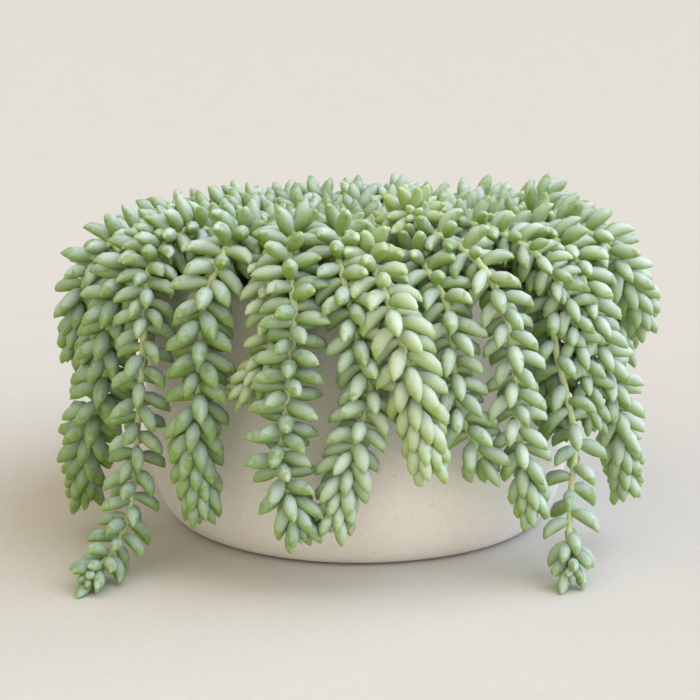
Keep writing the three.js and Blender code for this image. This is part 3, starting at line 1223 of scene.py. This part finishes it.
@dataclass(frozen=True)
class PatchGroup:
    """The shader group that gives irregular patches with fairly crisp edges."""

    name: str = "crisp patches"
    detail: float = 2.5
    roughness: float = .5
    distortion: float = .35

    def build(self) -> bpy.types.NodeTree:
        """Builds the group.

        Returns:
            The group, with inputs for the place, the patches' scale, their cover and their edge.
        """
        tree = bpy.data.node_groups.new(self.name, "ShaderNodeTree")
        for name, kind in (("Place", "Vector"), ("Scale", "Float"), ("Cover", "Float"), ("Edge", "Float")):
            tree.interface.new_socket(name, in_out="INPUT", socket_type="NodeSocket" + kind)
        tree.interface.new_socket("Mask", in_out="OUTPUT", socket_type="NodeSocketFloat")
        group = NodeGroup(tree)
        given = group.add("NodeGroupInput").outputs
        noise = group.add(
            "ShaderNodeTexNoise",
            {
                "Vector": given["Place"],
                "Scale": given["Scale"],
                "Detail": self.detail,
                "Roughness": self.roughness,
                "Distortion": self.distortion,
            },
        )
        start = group.math("SUBTRACT", 1.0, given["Cover"])
        low = group.math("SUBTRACT", start, given["Edge"])
        high = group.math("ADD", start, given["Edge"])
        group.add("NodeGroupOutput", {"Mask": group.steps(noise.outputs["Fac"], low, high)})
        return tree


class FinishKit:
    """Holds the shader groups that several finishes share."""

    def __init__(self) -> None:
        """Builds the groups once."""
        self.patches = PatchGroup().build()

    def patch_mask(
        self, group: NodeGroup, place: bpy.types.NodeSocket, kind: Patches,
        cover: bpy.types.NodeSocket | None = None,
    ) -> bpy.types.NodeSocket:
        """Places the group of crisp patches in a material.

        Args:
            group: the material's tree.
            place: where the pattern is read.
            kind: the patches.
            cover: how much they cover, where that changes over the surface.

        Returns:
            The mask, 1 in a patch.
        """
        inputs = {
            "Place": place,
            "Scale": kind.scale,
            "Cover": kind.cover if cover is None else cover,
            "Edge": kind.edge,
        }
        return group.add("ShaderNodeGroup", inputs, node_tree=self.patches).outputs["Mask"]


def start_material(name: str) -> tuple[bpy.types.Material, NodeGroup, bpy.types.Node]:
    """Starts a material with only its surface shader.

    Args:
        name: the material's name.

    Returns:
        The material, its tree and its Principled shader.
    """
    material = bpy.data.materials.new(name)
    material.use_nodes = True
    group = NodeGroup(material.node_tree)
    return material, group, material.node_tree.nodes["Principled BSDF"]


@dataclass(frozen=True)
class SucculentLeaf:
    """A fleshy leaf: a pale bloom over green flesh, rubbed off in patches, with a yellow-green point.

    Attributes:
        name: the material's name.
        bloom: the bloom of the coolest leaf, on the side turned to the lamps, where it is painted paler as
            painted light.
        bloom_warm: the bloom of the warmest leaf there.
        shaded_thin_bloom: the darker, greener bloom on the side turned from the lamps: partly thinner bloom,
            partly painted shade.
        flesh: the bare flesh.
        pale_root: the colour towards its root.
        point: the colour of its very tip.
        wear: how far the flesh shows where the bloom is rubbed off.
        rubbed: the rubbed patches of a cool leaf.
        warm_cover: what is added to their cover on the warmest leaf.
        handled: what is added to their cover at the tip.
        handled_zone: the shares of the length between which that comes in.
        veil: the wide soft patches where the bloom is thin.
        veil_share: how far the flesh shows there.
        root_zone: the share of the length over which the root's colour fades.
        root_share: how much there is of the root's colour.
        point_zone: the share of the length at which the point starts.
        point_share: how much there is of the point's colour.
        roughness: the roughness of whole bloom.
        bare_gloss: how much smoother the flesh is.
        specular: the level of its gloss.
        scatter: how much light passes through the skin.
        scatter_colour: how far red, green and blue light pass, against the scale.
        scatter_scale: how far light passes.
        haze: how much sheen the bloom has.
        haze_roughness: the sheen's roughness.
        haze_colour: the sheen's colour.
        grain: the bloom's fine grain.
        relief: how the grain raises the surface.
    """

    name: str
    bloom: Colour
    bloom_warm: Colour
    shaded_thin_bloom: Colour
    flesh: Colour
    pale_root: Colour
    point: Colour
    wear: float = .46
    rubbed: Patches = Patches(scale=150, cover=.385, edge=.045)
    warm_cover: float = -.17
    handled: float = .20
    handled_zone: tuple[float, float] = (.45, .95)
    veil: Patches = Patches(scale=60, cover=.5, edge=.2)
    veil_share: float = .2
    root_zone: float = .30
    root_share: float = .5
    point_zone: float = .93
    point_share: float = .8
    roughness: float = .46
    bare_gloss: float = .10
    specular: float = .36
    scatter: float = .45
    scatter_colour: Rgb = (.7, 1.0, .25)
    scatter_scale: float = .005
    haze: float = .03
    haze_roughness: float = .4
    haze_colour: Colour = (.86, 1.0, .88, 1)
    grain: Noise = Noise(scale=900, detail=2)
    relief: Bump = Bump(strength=.12, distance=.0004)

    def material(self, kit: FinishKit) -> bpy.types.Material:
        """Builds the material.

        Args:
            kit: the shared groups.

        Returns:
            The material.
        """
        material, group, shader = start_material(self.name)
        place = group.place()
        tint = group.attribute("tint")
        to_tip = group.attribute("to_tip")
        shift = group.add("ShaderNodeCombineXYZ", {"X": tint, "Y": tint, "Z": tint}).outputs[0]
        own_place = group.add("ShaderNodeVectorMath", {0: place, 1: shift}, operation="ADD").outputs[0]
        bloom = group.blend(tint, self.bloom, self.bloom_warm)
        # Painted light and shade: faces turned to the lamps get the pale bloom, faces turned away a darker
        # green, partly thinner bloom and partly painted shade.
        bloom = group.blend(group.attribute("exposed"), self.shaded_thin_bloom, bloom)
        handled = group.math("MULTIPLY", group.steps(to_tip, *self.handled_zone), self.handled)
        cover = group.math("MULTIPLY_ADD", tint, self.warm_cover, self.rubbed.cover)
        rubbed = kit.patch_mask(group, own_place, self.rubbed, group.math("ADD", handled, cover))
        thin = kit.patch_mask(group, own_place, self.veil)
        bare = group.math("MULTIPLY", rubbed, self.wear)
        bare = group.math("ADD", bare, group.math("MULTIPLY", thin, self.veil_share), clamp=True)
        colour = group.blend(bare, bloom, self.flesh)
        near_root = group.math("SUBTRACT", 1.0, group.steps(to_tip, 0.0, self.root_zone))
        colour = group.blend(group.math("MULTIPLY", near_root, self.root_share), colour, self.pale_root)
        at_point = group.steps(to_tip, self.point_zone, 1.0)
        colour = group.blend(group.math("MULTIPLY", at_point, self.point_share), colour, self.point)
        smoother = group.math("MULTIPLY", bare, self.bare_gloss)
        group.fill(shader, {
            "Base Color": colour,
            "Roughness": group.math("SUBTRACT", self.roughness, smoother),
            "Specular IOR Level": self.specular,
            "Subsurface Weight": self.scatter,
            "Subsurface Radius": self.scatter_colour,
            "Subsurface Scale": self.scatter_scale,
            "Sheen Weight": self.haze,
            "Sheen Roughness": self.haze_roughness,
            "Sheen Tint": self.haze_colour,
            "Normal": group.bump(group.noise(place, self.grain), self.relief),
        })
        return material


@dataclass(frozen=True)
class StemSkin:
    """The pale, slightly warty skin of a stem."""

    name: str = "stem skin"
    pale: Colour = (.60, .70, .42, 1)
    green: Colour = (.50, .61, .31, 1)
    scars: Patches = Patches(scale=420, cover=.42, edge=.1)
    relief: Bump = Bump(strength=.25, distance=.0003)
    roughness: float = .6
    scatter: float = .15
    scatter_scale: float = .002

    def material(self, kit: FinishKit) -> bpy.types.Material:
        """Builds the material.

        Args:
            kit: the shared groups.

        Returns:
            The material.
        """
        material, group, shader = start_material(self.name)
        scars = kit.patch_mask(group, group.place(), self.scars)
        group.fill(shader, {
            "Base Color": group.blend(scars, self.pale, self.green),
            "Roughness": self.roughness,
            "Subsurface Weight": self.scatter,
            "Subsurface Scale": self.scatter_scale,
            "Normal": group.bump(scars, self.relief),
        })
        return material


@dataclass(frozen=True)
class Stoneware:
    """Matt cream stoneware with soft clouds and fine tan specks."""

    name: str = "speckled stoneware"
    cream: Colour = (.86, .84, .825, 1)
    warm: Colour = (.82, .785, .75, 1)
    speck: Colour = (.40, .29, .19, 1)
    clouds: Noise = Noise(scale=22, detail=5, roughness=.62)
    cloud_edge: tuple[float, float] = (.35, .7)
    specks: Patches = Patches(scale=800, cover=.325, edge=.02)
    speck_share: float = .5
    faint_specks: Patches = Patches(scale=1700, cover=.39, edge=.04)
    faint_share: float = .22
    grain: Noise = Noise(scale=1100, detail=3)
    relief: Bump = Bump(strength=.15, distance=.0005)
    roughness: float = .62
    specular: float = .35

    def material(self, kit: FinishKit) -> bpy.types.Material:
        """Builds the material.

        Args:
            kit: the shared groups.

        Returns:
            The material.
        """
        material, group, shader = start_material(self.name)
        place = group.place()
        clouds = group.steps(group.noise(place, self.clouds), *self.cloud_edge)
        colour = group.blend(clouds, self.cream, self.warm)
        for kind, share in ((self.specks, self.speck_share), (self.faint_specks, self.faint_share)):
            specks = group.math("MULTIPLY", kit.patch_mask(group, place, kind), share)
            colour = group.blend(specks, colour, self.speck)
        group.fill(shader, {
            "Base Color": colour,
            "Roughness": self.roughness,
            "Specular IOR Level": self.specular,
            "Normal": group.bump(group.noise(place, self.grain), self.relief),
        })
        return material


@dataclass(frozen=True)
class PottingSoil:
    """Dark crumbly soil with paler bits."""

    name: str = "potting soil"
    dark: Colour = (.050, .040, .024, 1)
    brown: Colour = (.13, .10, .062, 1)
    bit: Colour = (.28, .22, .16, 1)
    crumbs: Noise = Noise(scale=260, detail=5, roughness=.7)
    crumb_edge: tuple[float, float] = (.35, .68)
    bits: Patches = Patches(scale=300, cover=.27, edge=.03)
    relief: Bump = Bump(strength=.8, distance=.002)
    roughness: float = .95

    def material(self, kit: FinishKit) -> bpy.types.Material:
        """Builds the material.

        Args:
            kit: the shared groups.

        Returns:
            The material.
        """
        material, group, shader = start_material(self.name)
        place = group.place()
        crumbs = group.noise(place, self.crumbs)
        colour = group.blend(group.steps(crumbs, *self.crumb_edge), self.dark, self.brown)
        group.fill(shader, {
            "Base Color": group.blend(kit.patch_mask(group, place, self.bits), colour, self.bit),
            "Roughness": self.roughness,
            "Normal": group.bump(crumbs, self.relief),
        })
        return material


@dataclass(frozen=True)
class PaleFloor:
    """The plain floor, with faint clouds and a faint grain."""

    name: str = "pale floor"
    colour: Rgb = (.62, .61, .605)
    clouds: Noise = Noise(scale=12, detail=4)
    cloud_edge: tuple[float, float] = (.35, .65)
    cloud_shade: float = .985
    grain: Noise = Noise(scale=160, detail=6, roughness=.7)
    grain_edge: tuple[float, float] = (.45, .8)
    grain_shade: float = .93
    roughness: float = .8
    specular: float = .2

    def material(self) -> bpy.types.Material:
        """Builds the material.

        Returns:
            The material.
        """
        material, group, shader = start_material(self.name)
        place = group.place()
        colour = (*self.colour, 1)
        for kind, edge, shade in (
            (self.clouds, self.cloud_edge, self.cloud_shade),
            (self.grain, self.grain_edge, self.grain_shade),
        ):
            darker = (*(c * shade for c in self.colour), 1)
            colour = group.blend(group.steps(group.noise(place, kind), *edge), colour, darker)
        group.fill(
            shader, {"Base Color": colour, "Roughness": self.roughness, "Specular IOR Level": self.specular}
        )
        return material


def place_piece(mesh: bpy.types.Mesh, name: str, node: str) -> bpy.types.Object:
    """Puts a finished mesh in the scene in place of a CAD node.

    Args:
        mesh: the mesh, in the row frame.
        name: the piece's name.
        node: the CAD node that it stands for.

    Returns:
        The piece.
    """
    piece = bpy.data.objects.new(name, mesh)
    bpy.context.scene.collection.objects.link(piece)
    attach(piece, BODY)
    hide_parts(node)
    LOG.info("%s: %d faces", name, len(mesh.polygons))
    return piece


def turned_mesh(name: str, profile: list[tuple[float, float]], sides: int) -> bpy.types.Mesh:
    """Turns a profile round the Z axis. The profile starts and ends on the axis.

    Args:
        name: the mesh's name.
        profile: radius and height of each point, counter-clockwise from the bottom.
        sides: how many steps there are round it.

    Returns:
        The closed mesh.
    """
    points: list[Point] = [(0.0, 0.0, profile[0][1])]
    for radius, height in profile[1:-1]:
        for i in range(sides):
            turn = 2 * math.pi * i / sides
            points.append((radius * math.cos(turn), radius * math.sin(turn), height))
    points.append((0.0, 0.0, profile[-1][1]))
    last = len(points) - 1
    rings = len(profile) - 2
    faces = []
    for i in range(sides):
        j = (i + 1) % sides
        faces.append([0, 1 + j, 1 + i])
        faces.append([last, last - sides + i, last - sides + j])
        for ring in range(rings - 1):
            low = 1 + ring * sides
            faces.append([low + i, low + j, low + sides + j, low + sides + i])
    mesh = bpy.data.meshes.new(name)
    mesh.from_pydata(points, [], faces)
    mesh.shade_smooth()
    return mesh


@dataclass
class Pot:
    """The low round pot: a shallow foot, a belly that rounds under, straight sides, a soft lip.

    Attributes:
        radius: its outer radius.
        height: the height of its rim.
        wall: the wall's thickness.
        floor: the floor's thickness.
        foot_radius: the foot's radius.
        foot_edge: the width of the foot's slope.
        foot_height: how far the belly stands off the floor.
        corner_width: how far the belly rounds in.
        corner_height: the height over which it does.
        lip: the height kept free under the rim.
        sides: the steps round it.
        corner_steps: the steps up the belly.
        wall_steps: the steps up the straight side.
        lip_steps: the steps over the lip.
        unevenness: how far its outside sinks in by hand, at the most.
        swells: share, turns, twist and start of the slow waves in its outside.
    """

    radius: float = .150
    height: float = .180
    wall: float = .009
    floor: float = .012
    foot_radius: float = .110
    foot_edge: float = .004
    foot_height: float = .0012
    corner_width: float = .026
    corner_height: float = .072
    lip: float = .003
    sides: int = 192
    corner_steps: int = 22
    wall_steps: int = 8
    lip_steps: int = 12
    unevenness: float = .00035
    swells: tuple[tuple[float, float, float, float], ...] = ((1, 3, 40, 0), (.6, 5, -65, 1.3))

    def profile(self) -> list[tuple[float, float]]:
        """Lists the outline from the foot's centre, up the outside and down the inside.

        Returns:
            Radius and height of each point.
        """
        inside = self.radius - self.wall
        points = [(0.0, 0.0), (self.foot_radius - self.foot_edge, 0.0), (self.foot_radius, self.foot_height)]
        for i in range(self.corner_steps + 1):
            turn = math.pi / 2 * i / self.corner_steps
            points.append((
                self.radius - self.corner_width * (1 - math.sin(turn)),
                self.foot_height + self.corner_height * (1 - math.cos(turn)),
            ))
        belly_top = self.foot_height + self.corner_height
        straight = self.height - self.lip - self.foot_height - self.corner_height
        for i in range(1, self.wall_steps):
            points.append((self.radius, belly_top + straight * i / self.wall_steps))
        half = self.wall / 2
        for i in range(self.lip_steps + 1):
            turn = math.pi * i / self.lip_steps
            points.append((
                self.radius - half + half * math.cos(turn),
                self.height - half + half * math.sin(turn),
            ))
        points += [(inside, belly_top), (self.foot_radius, self.floor), (0.0, self.floor)]
        return points

    def build(self, finish: bpy.types.Material) -> bpy.types.Object:
        """Builds the pot.

        Args:
            finish: its material.

        Returns:
            The piece.
        """
        mesh = turned_mesh("stoneware_pot", self.profile(), self.sides)
        most = sum(share for share, *_ in self.swells)
        for vertex in mesh.vertices:
            x, y, z = vertex.co
            angle = math.atan2(y, x)
            swell = sum(
                share * math.sin(turns * angle + twist * z + start)
                for share, turns, twist, start in self.swells
            )
            shrink = 1 - self.unevenness * (1 + swell / most) / self.radius
            vertex.co = (x * shrink, y * shrink, z)
        mesh.materials.append(finish)
        return place_piece(mesh, "stoneware_pot", "pot")


@dataclass
class Soil:
    """The soil that fills the pot, with an uneven top.

    Attributes:
        pot: the pot.
        top: the height of its top.
        gap: how far it keeps clear of the pot.
        rings: the steps from its edge to its middle.
        sides: the steps round it.
        relief: how far its top sinks in places, at the most.
    """

    pot: Pot
    top: float = .164
    gap: float = .0003
    rings: int = 90
    sides: int = 200
    relief: float = .0022

    def build(self, finish: bpy.types.Material) -> bpy.types.Object:
        """Builds the soil.

        Args:
            finish: its material.

        Returns:
            The piece.
        """
        outside = self.pot.radius - self.pot.wall - self.gap
        low = self.pot.floor + self.gap
        profile = [
            (0.0, low),
            (self.pot.foot_radius - 2 * self.gap, low),
            (outside - self.gap, self.pot.foot_height + self.pot.corner_height),
        ]
        for i in range(self.rings):
            profile.append((outside * (1 - i / self.rings), self.top))
        profile.append((0.0, self.top))
        mesh = turned_mesh("potting_soil", profile, self.sides)
        rng = np.random.default_rng(SEED)
        for vertex in mesh.vertices:
            if vertex.co.z > self.top - self.gap:
                vertex.co.z -= self.relief * rng.random()
        mesh.materials.append(finish)
        return place_piece(mesh, "potting_soil", "soil")


@dataclass
class Plant:
    """The plant: every leafy stem, each a piece of its own.

    Attributes:
        pot: the pot.
        soil: the soil.
        stem_girth: a stem's radius at its root.
        tip_girth: its radius at its tip.
        knots: the standard deviation of its swellings, as a share.
        box_margin: how far the leaves may stand past the model's box, as a share of its sides.
        lowest_leaf: the least height of a leaf above the floor.
        lit_side: the direction of the lamps, where the bloom is thickest and is painted palest as painted
            light.
        lit_bloom_range: the cosines to that side between which the bloom thickens and the painted light
            brightens it.
        tree: the tree that makes a stem.
    """

    pot: Pot
    soil: Soil
    stem_girth: float = .0028
    tip_girth: float = .0018
    knots: float = .008
    box_margin: float = .014
    lowest_leaf: float = .0002
    lit_side: Point = (.45, -.15, 1.0)
    lit_bloom_range: tuple[float, float] = (-.7, .8)
    tree: LeafyStemTree = field(default_factory=LeafyStemTree)

    def lines(self) -> list[StemLine]:
        """Lays out every stem.

        Returns:
            The centre lines, named as the CAD nodes are.
        """
        draw = Draw(SEED)
        trailing = [*FRONT_STEMS, *SideAndBack().plans(draw)]
        upright = [*CROWN_SHOOTS, *MiddleShoots().plans(draw)]
        router = StemRouter(self.soil.top)
        return [
            router.line(f"{prefix}_{number:02d}", plan)
            for prefix, plans in (("trailing_stem", trailing), ("short_shoot", upright))
            for number, plan in enumerate(plans, 1)
        ]

    def build(
        self, finishes: dict[Maturity, bpy.types.Material], skin: bpy.types.Material
    ) -> list[bpy.types.Object]:
        """Builds every stem.

        Args:
            finishes: the leaf materials.
            skin: the stems' material.

        Returns:
            The pieces.
        """
        lines = self.lines()
        bed = LeafGrower().grow(lines)
        LOG.info("%d leaves on %d stems", len(bed.root), len(lines))
        lowest, highest = self._box()
        room = Room(self.pot.radius, self.pot.height, self.pot.wall, self.soil.top, lowest, highest)
        LeafSettler(room).settle(bed, lines)
        shapes = bpy.data.collections.new("leaf shapes")
        for shape in LEAF_SHAPES:
            leaf = shape.mesh()
            leaf.name = f"{shape.form.value}_{shape.form.name.lower()}"
            shapes.objects.link(leaf)
        tree = self.tree.build()
        pieces = []
        for owner, line in enumerate(lines):
            mesh = self._stem_mesh(line, bed, owner, tree, shapes, finishes[line.plan.maturity], skin)
            pieces.append(place_piece(mesh, "leafy_" + line.node, line.node))
        for leaf in list(shapes.objects):
            bpy.data.objects.remove(leaf)
        bpy.data.collections.remove(shapes)
        return pieces

    def _box(self) -> tuple[np.ndarray, np.ndarray]:
        """Gives the box that the leaves are kept in, to about a millimetre.

        Returns:
            Its lowest and its highest corner: the model's own box, wider in front, behind, right and above.
        """
        lowest, highest = (np.array(corner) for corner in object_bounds())
        margin = (highest - lowest) * self.box_margin
        return lowest - margin * (0, 1, 0), highest + margin

    def _stem_mesh(
        self, line: StemLine, bed: LeafBed, owner: int, tree: bpy.types.NodeTree,
        shapes: bpy.types.Collection, leaf_finish: bpy.types.Material, skin: bpy.types.Material,
    ) -> bpy.types.Mesh:
        """Makes one stem with its leaves.

        Args:
            line: the stem's centre line.
            bed: every leaf.
            owner: the stem's number.
            tree: the tree that makes a stem.
            shapes: the leaf forms.
            leaf_finish: the leaves' material.
            skin: the stem's material.

        Returns:
            The stem and its leaves in one mesh.
        """
        source = self._source(line, bed, owner)
        holder = bpy.data.objects.new("source", source)
        bpy.context.scene.collection.objects.link(holder)
        modifier = holder.modifiers.new("leafy stem", "NODES")
        modifier.node_group = tree
        values = {
            "Leaf Shapes": shapes,
            "Leaf Finish": leaf_finish,
            "Stem Finish": skin,
            "Stem Sides": self.tree.stem_sides,
        }
        for item in tree.interface.items_tree:
            if item.in_out == "INPUT" and item.name in values:
                modifier[item.identifier] = values[item.name]
        graph = bpy.context.evaluated_depsgraph_get()
        mesh = bpy.data.meshes.new_from_object(holder.evaluated_get(graph), depsgraph=graph)
        mesh.name = "leafy_" + line.node
        for vertex in mesh.vertices:
            vertex.co.z = max(vertex.co.z, self.lowest_leaf)
        self._mark_exposed(mesh)
        for name in ("facing", "size", "form", "girth", "is_leaf"):
            found = mesh.attributes.get(name)
            if found is not None:
                mesh.attributes.remove(found)
        bpy.data.objects.remove(holder)
        bpy.data.meshes.remove(source)
        return mesh

    def _mark_exposed(self, mesh: bpy.types.Mesh) -> None:
        """Marks how far each point faces the lamps, where the bloom is thickest and the leaf is painted
        paler as painted light.

        Args:
            mesh: the stem's mesh.
        """
        facing = np.zeros(len(mesh.vertices) * 3, np.float32)
        mesh.vertex_normals.foreach_get("vector", facing)
        # Painted light: the share grows as the face turns towards the lamps.
        turned = facing.reshape(-1, 3) @ np.array(Vector(self.lit_side).normalized())
        low, high = self.lit_bloom_range
        share = np.clip((turned - low) / (high - low), 0, 1)
        self._store(mesh, "exposed", "FLOAT", share.astype(np.float32))

    def _source(self, line: StemLine, bed: LeafBed, owner: int) -> bpy.types.Mesh:
        """Puts a stem's line and its leaves' points in one mesh.

        Args:
            line: the centre line.
            bed: every leaf.
            owner: the stem's number.

        Returns:
            The mesh, with what the tree reads as attributes.
        """
        mine = np.flatnonzero(bed.owner == owner)
        stem = line.points
        count = len(stem)
        swellings = np.random.default_rng(SEED + owner).normal(1, self.knots, count)
        mesh = bpy.data.meshes.new("source")
        points = [*map(tuple, stem), *map(tuple, bed.root[mine])]
        edges = [(i, i + 1) for i in range(count - 1)]
        mesh.from_pydata(points, edges, [])
        taper = np.linspace(self.stem_girth, self.tip_girth, count) * swellings
        facing = np.zeros((count + len(mine), 4), np.float32)
        facing[:, 0] = 1
        for row, i in enumerate(mine, count):
            facing[row] = self._facing(bed.aim[i], bed.curl[i])
        shape_girths = np.array([shape.girth for shape in LEAF_SHAPES])[bed.form[mine]]
        width = bed.girth[mine] / shape_girths
        size = np.ones((count + len(mine), 3), np.float32)
        size[count:] = np.stack([width, width, bed.length[mine]], 1)
        self._store(mesh, "is_leaf", "BOOLEAN", [False] * count + [True] * len(mine))
        self._store(mesh, "form", "INT", [0] * count + [int(f) for f in bed.form[mine]])
        self._store(mesh, "tint", "FLOAT", [0.5] * count + list(bed.tint[mine]))
        self._store(mesh, "girth", "FLOAT", [*taper, *([0.0] * len(mine))])
        self._store(mesh, "facing", "QUATERNION", facing.ravel())
        self._store(mesh, "size", "FLOAT_VECTOR", size.ravel())
        return mesh

    @staticmethod
    def _store(mesh: bpy.types.Mesh, name: str, kind: str, values: Iterable) -> None:
        """Writes a point attribute of a data type, with its values in one flat row."""
        key = "vector" if kind == "FLOAT_VECTOR" else "value"
        mesh.attributes.new(name, kind, "POINT").data.foreach_set(key, values)

    @staticmethod
    def _facing(aim: np.ndarray, curl: np.ndarray) -> Quaternion:
        """Gives the rotation that takes +Z to a leaf's aim and +X to its curl."""
        across = np.cross(aim, curl)
        return Matrix((curl, across, aim)).transposed().to_quaternion()


@dataclass(frozen=True)
class Lamp:
    """A wide soft light from one direction, as from a large window.

    Attributes:
        name: its name.
        come_from: the direction that the light comes from.
        strength: how much light falls on a face turned to it.
        width: how wide it looks from the plant, in degrees.
        colour: its colour.
    """

    name: str
    come_from: Point
    strength: float
    width: float
    colour: Rgb

    def build(self) -> None:
        """Adds the light to the scene."""
        data = bpy.data.lights.new(self.name, "SUN")
        data.energy = self.strength
        data.angle = math.radians(self.width)
        data.color = self.colour
        light = bpy.data.objects.new(self.name, data)
        light.rotation_euler = Vector(self.come_from).to_track_quat("Z", "Y").to_euler()
        bpy.context.scene.collection.objects.link(light)


@dataclass(frozen=True)
class Studio:
    """The plain pale floor, the soft lights and the camera.

    Attributes:
        key: the cool light of a window at the right.
        fill: the warm light from in front and above.
        wall: the weak light that a pale wall at the left throws back.
        image: the picture's width and height, in pixels.
        focal_pixels: the lens's length, in pixels.
        sensor: the sensor's width, in millimetres.
        camera_place: where the camera stands.
        camera_pitch: its tilt in degrees, 0 looking down and 90 level.
        floor: the floor's finish.
        floor_size: the floor's side.
        sky_colour: the colour of the light from all round.
        sky_strength: its strength.
    """

    key: Lamp = Lamp("key", (1.0, -.10, .80), 2.8, 80, (.68, .80, 1.0))
    fill: Lamp = Lamp("fill", (.20, -1.0, 1.20), 1.8, 105, (1.0, .90, .72))
    wall: Lamp = Lamp("wall", (-1.0, -.60, .60), 1.25, 150, (1.0, .93, .80))
    image: int = 700
    focal_pixels: float = 1775
    sensor: float = 36
    camera_place: Point = (-.006, -1.220, .3855)
    camera_pitch: float = 77.5
    floor: PaleFloor = PaleFloor()
    floor_size: float = 60
    sky_colour: Colour = (1.0, .79, .46, 1)
    sky_strength: float = .25

    def build(self) -> None:
        """Builds the floor, the world, the lights and the camera."""
        self._floor()
        self._world()
        for lamp in (self.key, self.fill, self.wall):
            lamp.build()
        self._camera()
        view = bpy.context.scene.view_settings
        view.view_transform = "Standard"
        view.look = "None"

    def _floor(self) -> None:
        """Lays the floor."""
        half = self.floor_size / 2
        corners = [(-half, -half, 0), (half, -half, 0), (half, half, 0), (-half, half, 0)]
        mesh = bpy.data.meshes.new("floor")
        mesh.from_pydata(corners, [], [[0, 1, 2, 3]])
        mesh.materials.append(self.floor.material())
        floor = bpy.data.objects.new("floor", mesh)
        bpy.context.scene.collection.objects.link(floor)
        floor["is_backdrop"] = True

    def _world(self) -> None:
        """Lights the room evenly."""
        world = bpy.data.worlds.new("soft room")
        world.use_nodes = True
        background = world.node_tree.nodes["Background"]
        background.inputs["Color"].default_value = self.sky_colour
        background.inputs["Strength"].default_value = self.sky_strength
        bpy.context.scene.world = world

    def _camera(self) -> None:
        """Sets the camera at the photograph's place."""
        data = bpy.data.cameras.new("camera")
        data.sensor_width = self.sensor
        data.lens = self.sensor * self.focal_pixels / self.image
        camera = bpy.data.objects.new("camera", data)
        camera.location = self.camera_place
        camera.rotation_euler = (math.radians(self.camera_pitch), 0, 0)
        bpy.context.scene.collection.objects.link(camera)
        bpy.context.scene.camera = camera


BLUE_GREEN_LEAF = SucculentLeaf(
    "blue-green leaf",
    bloom=(.33, .44, .44, 1),
    bloom_warm=(.62, .73, .74, 1),
    shaded_thin_bloom=(.24, .38, .03, 1),
    flesh=(.17, .29, .02, 1),
    pale_root=(.48, .60, .22, 1),
    point=(.48, .56, .18, 1),
)
YOUNG_LEAF = SucculentLeaf(
    "yellow-green leaf",
    bloom=(.50, .61, .53, 1),
    bloom_warm=(.58, .67, .66, 1),
    shaded_thin_bloom=(.34, .47, .08, 1),
    flesh=(.28, .41, .06, 1),
    pale_root=(.68, .74, .46, 1),
    point=(.60, .66, .34, 1),
    wear=.45,
)


def main() -> None:
    """Builds the pot, the soil, the plant and the studio."""
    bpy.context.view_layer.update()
    kit = FinishKit()
    pot = Pot()
    soil = Soil(pot)
    pot.build(Stoneware().material(kit))
    soil.build(PottingSoil().material(kit))
    finishes = {
        Maturity.GROWN: BLUE_GREEN_LEAF.material(kit),
        Maturity.YOUNG: YOUNG_LEAF.material(kit),
    }
    Plant(pot, soil).build(finishes, StemSkin().material(kit))
    Studio().build()


if __name__ == "__main__":
    logging.basicConfig(level=logging.INFO)
    main()
